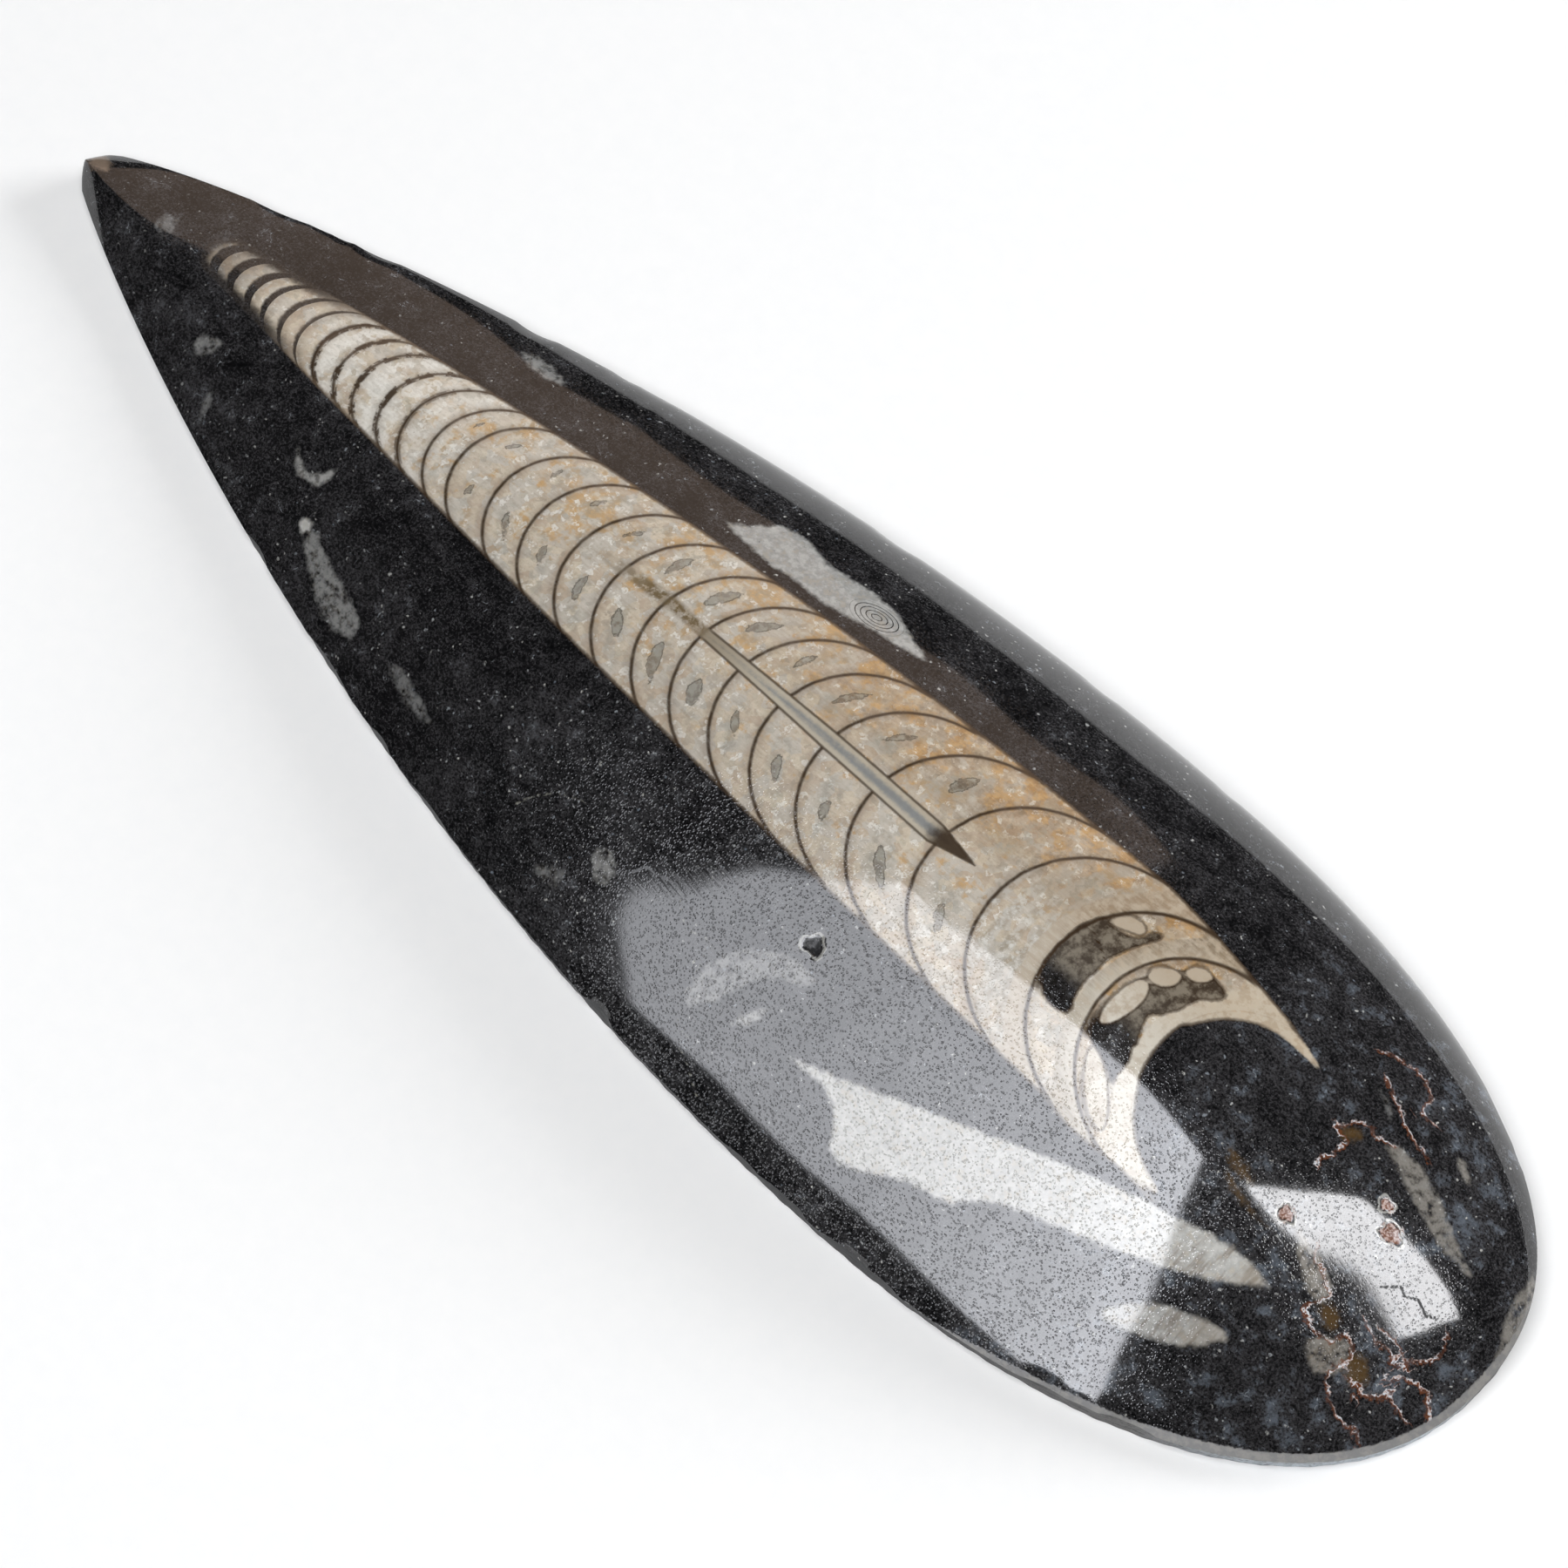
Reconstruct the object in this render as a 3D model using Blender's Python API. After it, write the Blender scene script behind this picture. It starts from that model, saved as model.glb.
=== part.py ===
"""Polished teardrop plaque of black limestone, with a straight shell cut lengthways in its face.

The plaque is one stone. It lies on its sawn base with the tip towards -X, the butt towards +X and
+Z up. Its face is a long low dome that carries a ridge at the tip and broadens over the butt. The
dome ends at a short ground edge, which is chipped here and there. The shell is flush with the
polished face, so it has no relief of its own.
"""

import math
import random

import bmesh
import bpy

MM = 0.001

# Plan. The keel is the straight line from the tip to the butt that both half widths start from.
LENGTH = 165.0 * MM
WIDEST_AT = 114.5 * MM  # from the tip
LEFT_WIDTH = 27.4 * MM  # the -Y side of the keel
RIGHT_WIDTH = 24.3 * MM  # the +Y side of the keel
BLUNTING = 2.3 * MM  # how far before the tip the outline would have come to a point
TIP_FLARE = {-1: 0.82, 1: 0.74}  # exponent of each side's outline between tip and widest place
BUTT_SQUARENESS = {-1: 2.22, 1: 2.25}  # superellipse exponent of each side's outline at the butt

# Face.
TIP_HEIGHT = 3.5 * MM
CROWN_HEIGHT = 14.6 * MM
CROWN_RISE = 1.8  # exponent of the crown's climb from the tip
DOME_FOOT = {-1: 1.1 * MM, 1: 1.7 * MM}  # height that each side springs from, just outside the edge
DOME_REACH = 0.985  # part of the dome's arc that is left inside the outline
DOME_SHARPNESS = {-1: (1.1, 2.3), 1: (1.05, 1.65)}  # exponent of each side's section, tip and crown
DOME_SHOULDER = {-1: (1.0, 1.0), 1: (1.0, 0.58)}  # under 1, the side steepens towards the edge
CROWN_BROAD_AT = 55.0 * MM  # from the tip
SIDES_MEET_OVER = 16.0 * MM  # width at the crown in which one side's shape passes into the other's
RIDGE_LEAN = 0.35  # the ridge lies this part of the left half width from the keel at the tip
RIDGE_ENDS_AT = 60.0 * MM  # from the tip

# Hand polishing leaves the face slightly uneven: height, wavelengths along X and Y, phases.
SWELLS = (
    (0.12 * MM, 41.0 * MM, 33.0 * MM, 0.6, 1.1),
    (0.05 * MM, 19.0 * MM, 16.0 * MM, 2.0, 0.4),
)

# Ground edge and base.
EDGE_LEAN = 0.25 * MM  # the edge draws in by this much towards the base
EDGE_WAVINESS = 0.12 * MM
CHIPS = 26
CHIP_LENGTH = (2.5 * MM, 7.0 * MM)
CHIP_DEPTH = (0.1 * MM, 0.4 * MM)

# Mesh.
SIDE_STATIONS = 84
BUTT_STATIONS = 60
RINGS = 12
EDGE_LEVELS = (1.0, 0.72, 0.2, 0.0)  # heights of the edge's rows, as parts of the edge
MERGE = 0.00001

STONE_COLOUR = (0.018, 0.017, 0.017, 1.0)


def half_width(x, side):
    """Distance from the keel to the outline on one side (-1 left, 1 right), x from the tip."""
    widest = LEFT_WIDTH if side < 0 else RIGHT_WIDTH
    if x < WIDEST_AT:
        climb = math.sin(math.pi / 2 * (x + BLUNTING) / (WIDEST_AT + BLUNTING))
        return widest * climb ** TIP_FLARE[side]
    power = BUTT_SQUARENESS[side]
    past = min((x - WIDEST_AT) / (LENGTH - WIDEST_AT), 1.0)
    return widest * (1.0 - past**power) ** (1.0 / power)


def ridge_offset(x):
    """Y of the ridge or crown line, x from the tip."""
    return -RIDGE_LEAN * half_width(min(x, WIDEST_AT), -1) * max(1.0 - x / RIDGE_ENDS_AT, 0.0)


def crown_height(x):
    climb = math.sin(math.pi / 2 * min(x, WIDEST_AT) / WIDEST_AT)
    return TIP_HEIGHT + (CROWN_HEIGHT - TIP_HEIGHT) * climb**CROWN_RISE


def swell(x, y):
    return sum(
        height * math.sin(2 * math.pi * x / along + start) * math.sin(2 * math.pi * y / across + turn)
        for height, along, across, start, turn in SWELLS
    )


def between(here, there, part):
    return here + (there - here) * part


def face_height(x, y):
    """Height of the polished face: 0 from crown to outline is `out`, whose arc gives the dome."""
    waist = min(x, WIDEST_AT)
    ridge = ridge_offset(waist)
    side = 1 if y > ridge else -1
    across = min(abs(y - ridge) / abs(side * half_width(waist, side) - ridge), 1.0)
    along = max(x - WIDEST_AT, 0.0) / (LENGTH - WIDEST_AT)
    power = BUTT_SQUARENESS[side]
    out = min((across**power + along**power) ** (1.0 / power), 1.0)
    broad = min(waist / CROWN_BROAD_AT, 1.0) ** 0.8
    over = min(max(0.5 + (y - ridge) / SIDES_MEET_OVER, 0.0), 1.0)
    right = over * over * (3.0 - 2.0 * over)
    foot = between(DOME_FOOT[-1], DOME_FOOT[1], right)
    sharpness = between(between(*DOME_SHARPNESS[-1], broad), between(*DOME_SHARPNESS[1], broad), right)
    shoulder = between(between(*DOME_SHOULDER[-1], broad), between(*DOME_SHOULDER[1], broad), right)
    dome = (1.0 - (DOME_REACH * out) ** sharpness) ** shoulder
    return foot + (crown_height(x) - foot) * dome + swell(x, y) * (1.0 - out**4)


def outline():
    """Points of the outline from the tip along the right side, round the butt and back."""
    right = []
    for i in range(SIDE_STATIONS):
        x = WIDEST_AT * i / SIDE_STATIONS
        right.append((x, half_width(x, 1)))
    butt = []
    for i in range(BUTT_STATIONS + 1):
        angle = math.pi / 2 - math.pi * i / BUTT_STATIONS
        side = 1 if angle >= 0 else -1
        power = 2.0 / BUTT_SQUARENESS[side]
        reach = LEFT_WIDTH if side < 0 else RIGHT_WIDTH
        x = WIDEST_AT + (LENGTH - WIDEST_AT) * max(math.cos(angle), 0.0) ** power
        butt.append((x, side * reach * abs(math.sin(angle)) ** power))
    left = [(x, -half_width(x, -1)) for x, _ in reversed(right)]
    return right + butt + left


def distances(points):
    """Distance along the closed loop of points at each of them, and the whole length."""
    along = [0.0]
    for here, there in zip(points, points[1:] + points[:1]):
        along.append(along[-1] + math.dist(here, there))
    return along[:-1], along[-1]


def chip_depths(points):
    """Depth of the chipping at each outline point."""
    random.seed(7)
    along, total = distances(points)
    chips = []
    for _ in range(CHIPS):
        chips.append((random.uniform(0, total), random.uniform(*CHIP_LENGTH), random.uniform(*CHIP_DEPTH)))
    depths = []
    for place in along:
        deepest = 0.0
        for centre, length, depth in chips:
            off = abs(place - centre) / (length / 2)
            deepest = max(deepest, depth * max(1.0 - off**2, 0.0))
        depths.append(deepest)
    return depths


def inward(points, i):
    """Unit vector that points into the plan at outline point i."""
    (x0, y0), (x1, y1) = points[i - 1], points[(i + 1) % len(points)]
    length = math.hypot(x1 - x0, y1 - y0)
    return (y1 - y0) / length, -(x1 - x0) / length


def face_rings(points):
    """Rings of face points, from the crown line out to the outline."""
    rings = []
    for j in range(RINGS):
        part = math.sin(math.pi / 2 * j / RINGS)
        ring = []
        for x, y in points:
            crown_x = min(x, WIDEST_AT)
            crown_y = ridge_offset(crown_x)
            px, py = crown_x + (x - crown_x) * part, crown_y + (y - crown_y) * part
            ring.append((px, py, face_height(px, py)))
        rings.append(ring)
    return rings


def edge_rings(points):
    """Rings of the ground edge, from the face down to the base."""
    depths = chip_depths(points)
    rings = []
    for level in EDGE_LEVELS:
        ring = []
        for i, (x, y) in enumerate(points):
            nx, ny = inward(points, i)
            waviness = EDGE_WAVINESS * math.sin(0.9 * i) * math.sin(0.37 * i)
            top = face_height(x, y) + waviness - depths[i]
            draw_in = EDGE_LEAN * (1.0 - level) + depths[i] * level
            ring.append((x + nx * draw_in, y + ny * draw_in, top * level))
        rings.append(ring)
    return rings


def bridge(mesh, upper, lower):
    count = len(upper)
    for i in range(count):
        k = (i + 1) % count
        mesh.faces.new((upper[i], lower[i], lower[k], upper[k]))


def close_base(mesh, ring):
    """Fills the base with strips between the two sides of its outline."""
    count = len(ring)
    for i in range(count // 2):
        j = count - 1 - i
        corners = [ring[i], ring[j], ring[j - 1], ring[i + 1]]
        corners = [corner for k, corner in enumerate(corners) if corner not in corners[:k]]
        if len(corners) > 2:
            mesh.faces.new(corners)


def plaque_mesh():
    points = outline()
    mesh = bmesh.new()
    rings = []
    for ring in face_rings(points) + edge_rings(points):
        rings.append([mesh.verts.new(co) for co in ring])
    for upper, lower in zip(rings, rings[1:]):
        bridge(mesh, upper, lower)
    close_base(mesh, rings[-1])
    bmesh.ops.remove_doubles(mesh, verts=mesh.verts, dist=MERGE)
    bmesh.ops.dissolve_degenerate(mesh, edges=mesh.edges, dist=MERGE)
    bmesh.ops.recalc_face_normals(mesh, faces=mesh.faces)
    centre(mesh)
    return mesh


def centre(mesh):
    """Moves the origin to the middle of the base of the bounding box."""
    middle = []
    for axis in (0, 1):
        values = [vert.co[axis] for vert in mesh.verts]
        middle.append((min(values) + max(values)) / 2)
    bmesh.ops.translate(mesh, verts=mesh.verts, vec=(-middle[0], -middle[1], 0.0))


def stone_material():
    material = bpy.data.materials.new("black_limestone")
    material.use_nodes = True
    shader = material.node_tree.nodes["Principled BSDF"]
    shader.inputs["Base Color"].default_value = STONE_COLOUR
    shader.inputs["Roughness"].default_value = 0.15
    shader.inputs["Metallic"].default_value = 0.0
    return material


def add_plaque():
    data = bpy.data.meshes.new("orthoceras_plaque")
    mesh = plaque_mesh()
    mesh.to_mesh(data)
    mesh.free()
    data.materials.append(stone_material())
    data.shade_smooth()
    plaque = bpy.data.objects.new("orthoceras_plaque", data)
    bpy.context.scene.collection.objects.link(plaque)


def clear_scene():
    for thing in list(bpy.data.objects):
        bpy.data.objects.remove(thing)


clear_scene()
add_plaque()
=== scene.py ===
"""Polished plaque of black limestone with an orthoceras shell cut lengthways in its face.

One fine closed mesh stands for the plaque's plain solid. Its form follows the same plan and dome
as that solid. Places on the face are in millimetres: x from the tip, y from the keel, the straight
line from the tip to the butt. What lies in the face is stored as distances at the mesh's points,
positive inside, which the finish turns into crisp edges.
"""

import math
import random
from collections import namedtuple
from functools import cached_property

import bmesh
import bpy
import numpy as np
from mathutils import Matrix, Vector


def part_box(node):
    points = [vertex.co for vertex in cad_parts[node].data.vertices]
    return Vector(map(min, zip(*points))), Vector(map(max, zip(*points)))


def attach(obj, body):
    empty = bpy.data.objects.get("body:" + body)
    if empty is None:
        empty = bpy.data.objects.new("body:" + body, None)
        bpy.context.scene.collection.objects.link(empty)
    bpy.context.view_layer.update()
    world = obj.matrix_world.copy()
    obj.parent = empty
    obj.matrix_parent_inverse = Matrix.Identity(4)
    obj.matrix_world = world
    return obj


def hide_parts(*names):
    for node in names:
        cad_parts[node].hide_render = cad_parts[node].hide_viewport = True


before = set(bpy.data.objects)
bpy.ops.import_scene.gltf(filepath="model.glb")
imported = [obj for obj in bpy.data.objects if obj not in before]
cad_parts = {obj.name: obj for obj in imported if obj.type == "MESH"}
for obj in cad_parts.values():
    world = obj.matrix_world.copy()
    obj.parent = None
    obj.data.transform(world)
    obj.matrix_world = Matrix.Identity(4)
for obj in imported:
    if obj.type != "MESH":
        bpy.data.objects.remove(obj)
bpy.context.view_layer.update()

MM = 0.001
NODE = "orthoceras_plaque"
low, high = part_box(NODE)

# ---- Plan and dome of the plaque, in mm ----
LENGTH = (high.x - low.x) / MM
LEFT_WIDTH = 27.4  # the -Y side of the keel
RIGHT_WIDTH = 24.3  # the +Y side of the keel
WIDEST_AT = 114.5
BLUNTING = 2.3  # how far before the tip the outline would have come to a point
TIP_EASED_TO, TIP_EASINGS = 1.2, 50  # x up to which the outline's corners are smoothed, and how often
TIP_FLARE = {-1: 0.82, 1: 0.74}
BUTT_SQUARENESS = {-1: 2.22, 1: 2.25}
CROWN_HEIGHT = 14.6
DOME_REACH = 0.985
SIDES_MEET_OVER = 16.0  # width over which the left side's cross section turns into the right side's
BROADENING = 0.8  # exponent of the cross section's change between tip and crown
RIDGE_LEAN = 0.35
RIDGE_ENDS_AT = 60.0
# Slight waves that hand polishing leaves: height, wavelengths along X and Y, phases.
SWELLS = ((0.12, 41.0, 33.0, 0.6, 1.1), (0.05, 19.0, 16.0, 2.0, 0.4))

# The dome's cross section. Pairs run from the tip to the crown; -1 is the left side and 1 the right.
Dome = namedtuple("Dome", "tip rise foot sharpness shoulder broad_at")
DOME = Dome(
    tip=3.5, rise=1.8, foot={-1: 1.1, 1: 1.7}, sharpness={-1: (1.1, 2.3), 1: (1.05, 1.65)},
    shoulder={-1: (1.0, 1.0), 1: (1.0, 0.58)}, broad_at=55.0,
)
# A fuller dome, over which the places in the face were measured, looking along the camera's line.
MEASURED_ON = Dome(
    tip=4.5, rise=1.08, foot={-1: 1.7, 1: 1.7}, sharpness={-1: (1.35, 2.7), 1: (1.35, 2.7)},
    shoulder={-1: (0.8, 0.8), 1: (0.8, 0.8)}, broad_at=70.0,
)

# ---- Ground edge ----
EDGE_LEAN = 0.25  # the edge draws in by this much towards the base
EDGE_RIPPLE, RIPPLE_TURNS = 0.05, (2.3, 0.9)
LEAST_DRAW_IN = 0.02
CHIP_SEED = 7
CHIPS = 26
CHIP_LENGTH = (2.5, 7.0)
CHIP_DEPTH = (0.1, 0.4)
CHIP_REACH = 1.3  # how far a chip bites into the polished face
CHIP_BITE = 0.5  # how far the face drops at a chip, over the chip's depth
CHIP_FADING = 1.5  # exponent with which a chip fades down the edge
TIP_ROUNDING = 0.8  # radius between the face and the blunt end of the tip
TIP_TURN = 0.96  # under 1, so that the rounding never stands upright

# ---- Mesh ----
SIDE_STATIONS = 424
BUTT_STATIONS = 168
TIP_STATIONS = 12  # on each side of the keel
RINGS = 75
RING_CROWDING = 0.1  # the first rings stand this much wider than even, the last this much closer
SETTLING_ROUNDS = 6  # for a place that is found step by step
EDGE_LEVELS = (0.86, 0.62, 0.36, 0.12, 0.0)
SPINE_FROM, SPINE_BENDS_AT, SPINE_TO = 1.5, 100.0, 148.0  # the rings open round this line
WELD = 0.002
SHARP_ANGLE = math.radians(32)

# The band that is ground dull round the butt: where it starts, where it ends, its width.
RIM_FROM, RIM_TO_Y, RIM_WIDTH = 130.0, 8.0, 0.6
RIM_WIDENS_OVER, RIM_NARROWS_OVER = 18.0, 8.0

# ---- The shell ----
SHELL_AXIS = 0.2  # y of its middle
SHELL_WIDEST = 10.4  # half width
SHELL_TAPER_FROM, SHELL_TAPER_OVER = -2.6, 140.8
FIRST_SEPTUM = 16.3
FIRST_CHAMBER_FROM = -0.05  # where the pale shell starts, as a chamber count
CHAMBER_LENGTHS = (
    2.2, 2.2, 2.4, 1.9, 2.3, 2.1, 2.3, 2.8, 2.4, 3.3, 2.8, 3.3, 3.0, 4.8,
    4.4, 4.7, 4.6, 4.9, 4.5, 4.6, 4.8, 5.3, 5.8, 7.0, 6.6, 6.8, 5.4, 6.1,
)
# Tables of x and a value at it: a septum's radius over the half width, how far the last septa's right
# halves are drawn in, and where the right wall runs.
SEPTUM_BOW = ((70, 1.18), (90, 1.03))
RIGHT_DRAWN_IN = ((112, 0.0), (118, 0.7), (124, 1.7), (130, 2.2))
RIGHT_LIMIT = ((118, 10.6), (126, 9.9), (131, 9.2), (136, 8.5), (139.6, 7.4))
SEPTUM_REACH = 0.985  # a septum is followed out to this part of its radius
LAST_SEPTUM = len(CHAMBER_LENGTHS)
TUBE_FROM, TUBE_CLEAR_FROM, TUBE_TO = 60.0, 77.0, 108.3  # the siphuncle
TUBE_HALF_WIDTHS = ((60, 0.5), (71, 0.6), (77, 0.5), (92, 0.85), (104, 0.95), (105.5, 0.6), (108.3, 0.0))
TUBE_MIDDLES = ((60, 0.0), (73, 0.8), (77, 0.6), (92, 0.35), (104, 0.25), (108.3, 0.4))

# ---- Camera: the face seen from the left, the tip at the upper left ----
CAMERA_AZIMUTH, CAMERA_ELEVATION = 44.7, 63.0
CAMERA_DISTANCE = 450.0
CAMERA_TARGET = (88.8, -1.8, 5.0)
CAMERA_LENS, CAMERA_SENSOR = 124.0, 36.0
CAMERA_SEES = (0.01, 20.0)  # nearest and farthest, in metres

KEEL_GAP = 0.03  # the outline's widest point misses the box's side by this much
KEEL_Y = low.y / MM + LEFT_WIDTH - KEEL_GAP
TIP_X = low.x / MM


def in_frame(x, y, z):
    """A place on the plaque, in metres in the frame."""
    return Vector(((x + TIP_X) * MM, (y + KEEL_Y) * MM, z * MM))


# ======== Form ========


def half_width(x, side):
    widest = LEFT_WIDTH if side < 0 else RIGHT_WIDTH
    climb = np.sin(np.pi / 2 * np.minimum((x + BLUNTING) / (WIDEST_AT + BLUNTING), 1.0))
    power = BUTT_SQUARENESS[side]
    past = np.clip((x - WIDEST_AT) / (LENGTH - WIDEST_AT), 0.0, 1.0)
    return widest * climb ** TIP_FLARE[side] * (1.0 - past**power) ** (1.0 / power)


def ridge_offset(x):
    lean = np.maximum(1.0 - x / RIDGE_ENDS_AT, 0.0)
    return -RIDGE_LEAN * half_width(np.minimum(x, WIDEST_AT), -1) * lean


def crown_height(x, dome):
    climb = np.sin(np.pi / 2 * np.clip(x, 0.0, WIDEST_AT) / WIDEST_AT)
    return dome.tip + (CROWN_HEIGHT - dome.tip) * climb**dome.rise


def swell(x, y):
    return sum(
        height * np.sin(2 * np.pi * x / along + start) * np.sin(2 * np.pi * y / across + turn)
        for height, along, across, start, turn in SWELLS
    )


def between(here, there, part):
    return here + (there - here) * part


def face_height(x, y, dome=DOME):
    waist = np.clip(x, 0.0, WIDEST_AT)
    ridge = ridge_offset(waist)
    right = y > ridge
    reach = np.where(right, half_width(waist, 1) - ridge, half_width(waist, -1) + ridge)
    across = np.minimum(np.abs(y - ridge) / reach, 1.0)
    along = np.clip((x - WIDEST_AT) / (LENGTH - WIDEST_AT), 0.0, 1.0)
    power = np.where(right, BUTT_SQUARENESS[1], BUTT_SQUARENESS[-1])
    out = np.minimum((across**power + along**power) ** (1.0 / power), 1.0)
    broad = np.minimum(waist / dome.broad_at, 1.0) ** BROADENING
    over = np.clip(0.5 + (y - ridge) / SIDES_MEET_OVER, 0.0, 1.0)
    over = over * over * (3.0 - 2.0 * over)
    foot = between(dome.foot[-1], dome.foot[1], over)
    left, right = (between(*dome.sharpness[side], broad) for side in (-1, 1))
    sharpness = between(left, right, over)
    left, right = (between(*dome.shoulder[side], broad) for side in (-1, 1))
    rise = (1.0 - (DOME_REACH * out) ** sharpness) ** between(left, right, over)
    return foot + (crown_height(x, dome) - foot) * rise + swell(x, y) * (1.0 - out**4)


def measured_places(x, y, z):
    """The places on the dome that was measured, seen from the camera behind each point of the face."""
    eye = Vector(CAMERA_TARGET) + direction(CAMERA_AZIMUTH, CAMERA_ELEVATION) * CAMERA_DISTANCE
    there_x, there_y = x, y
    for _ in range(SETTLING_ROUNDS):
        part = (face_height(there_x, there_y, MEASURED_ON) - z) / (eye.z - z)
        there_x, there_y = x + (eye.x - x) * part, y + (eye.y - y) * part
    return there_x, there_y


def tip_rounding(x):
    """How far the face drops where it turns down to the blunt end of the tip."""
    short = np.clip(1.0 - x / TIP_ROUNDING, 0.0, 1.0)
    return TIP_ROUNDING * (1.0 - np.sqrt(1.0 - TIP_TURN * short**2))


def outline():
    """Closed loop of the outline, from the middle of the tip round the right side and the butt."""
    side = np.linspace(0.0, WIDEST_AT, SIDE_STATIONS, endpoint=False)
    turn = np.linspace(np.pi / 2, 0.0, BUTT_STATIONS + 1)
    roundness = 4.0 / (BUTT_SQUARENESS[1] + BUTT_SQUARENESS[-1])
    butt = WIDEST_AT + (LENGTH - WIDEST_AT) * np.maximum(np.cos(turn), 0.0) ** roundness
    xs = np.concatenate([side, butt])
    blunt = np.linspace(0.0, 1.0, TIP_STATIONS, endpoint=False)
    right = np.stack([xs, half_width(xs, 1)], axis=1)
    left = np.stack([xs, -half_width(xs, -1)], axis=1)[-2::-1]
    tip_right = np.stack([0.0 * blunt, blunt * right[0, 1]], axis=1)
    tip_left = np.stack([0.0 * blunt, blunt * left[-1, 1]], axis=1)[:0:-1]
    loop = np.concatenate([tip_right, right, left, tip_left])
    near_tip = loop[:, 0] < TIP_EASED_TO
    for _ in range(TIP_EASINGS):
        mean = (np.roll(loop, 1, axis=0) + np.roll(loop, -1, axis=0)) / 2
        loop[near_tip] = mean[near_tip]
    return loop


def run_along(loop):
    """Distance along the loop at each of its points, and the whole length."""
    steps = np.hypot(*(np.roll(loop, -1, axis=0) - loop).T)
    along = np.concatenate([[0.0], np.cumsum(steps)])
    return along[:-1], along[-1]


def chip_depths(loop):
    """Depth of the chipping at each point of the loop."""
    random.seed(CHIP_SEED)
    along, total = run_along(loop)
    start = along[TIP_STATIONS]
    depths = np.zeros(len(loop))
    for _ in range(CHIPS):
        centre = random.uniform(0, total)
        length = random.uniform(*CHIP_LENGTH)
        depth = random.uniform(*CHIP_DEPTH)
        off = np.abs((along - start) % total - centre) / (length / 2)
        depths = np.maximum(depths, depth * np.maximum(1.0 - off**2, 0.0))
    return depths


def inward(loop):
    ahead = np.roll(loop, -1, axis=0) - np.roll(loop, 1, axis=0)
    ahead /= np.hypot(*ahead.T)[:, None]
    return np.stack([ahead[:, 1], -ahead[:, 0]], axis=1)


# Hollows in the polished face: x, y, radius along, radius across, depth. A vug's outline waves three and
# five times round, and its lip reaches a little past its radius.
VUG_WAVES = (0.16, 0.1)
VUG_LIP, VUG_DEEPENING = 1.2, 1.4
VUGS = (
    (103.6, -13.4, 0.85, 0.65, 0.45),
    (150.8, 3.3, 0.5, 0.45, 0.1),
    (152.6, 1.9, 0.8, 0.7, 0.18),
    (146.0, -3.4, 0.6, 0.5, 0.12),
)


def vug_places(x, y):
    """For each vug, how far out each place lies over the vug's radius, its radius and its depth."""
    for cx, cy, along, across, deep in VUGS:
        angle = np.arctan2((y - cy) / across, (x - cx) / along)
        uneven = 1.0 + VUG_WAVES[0] * np.sin(3 * angle + cx) + VUG_WAVES[1] * np.sin(5 * angle + cy)
        yield np.hypot((x - cx) / along, (y - cy) / across) / uneven, across, deep


def hollows(x, y):
    depth = np.zeros_like(x)
    for out, _, deep in vug_places(x, y):
        depth = np.maximum(depth, VUG_DEEPENING * deep * (1.0 - np.minimum(out / VUG_LIP, 1.0) ** 2) ** 2)
    return depth


def inside_vugs(x, y):
    best = np.full(x.shape, -FAR)
    for out, radius, _ in vug_places(x, y):
        best = np.maximum(best, (1.0 - out) * radius)
    return best


def plaque_points():
    """Rings of points from the spine out over the face, then down the ground edge."""
    loop = outline()
    depths = chip_depths(loop)
    inside = inward(loop)
    rim = loop + inside * depths[:, None]
    past_bend = np.maximum(loop[:, 0] - SPINE_BENDS_AT, 0.0)
    slower = (SPINE_TO - SPINE_BENDS_AT) / (LENGTH - SPINE_BENDS_AT)
    spine_x = np.maximum(np.minimum(loop[:, 0], SPINE_BENDS_AT) + past_bend * slower, SPINE_FROM)
    spine = np.stack([spine_x, ridge_offset(spine_x)], axis=1)
    rings = []
    for j in range(RINGS + 1):
        part = j / RINGS * (1.0 + RING_CROWDING * (1.0 - j / RINGS))
        plan = spine + (rim - spine) * part
        x, y = plan.T
        to_rim = (1.0 - part) * np.hypot(*(rim - spine).T)
        bite = CHIP_BITE * depths * np.maximum(1.0 - to_rim / CHIP_REACH, 0.0) ** 2
        height = face_height(x, y)
        hollow = hollows(*measured_places(x, y, height))
        rings.append(np.column_stack([x, y, height - tip_rounding(x) - bite - hollow]))
    top = rings[-1][:, 2]
    along, _ = run_along(loop)
    ripple = EDGE_RIPPLE * np.sin(along * RIPPLE_TURNS[0]) * np.sin(along * RIPPLE_TURNS[1] + 1.0)
    for level in EDGE_LEVELS:
        draw_in = (EDGE_LEAN + ripple) * (1.0 - level) + depths * level**CHIP_FADING
        plan = loop + inside * np.maximum(draw_in, LEAST_DRAW_IN)[:, None]
        rings.append(np.column_stack([plan, top * level]))
    return rings


FACE, EDGE, BASE = 0, 1, 2


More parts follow.
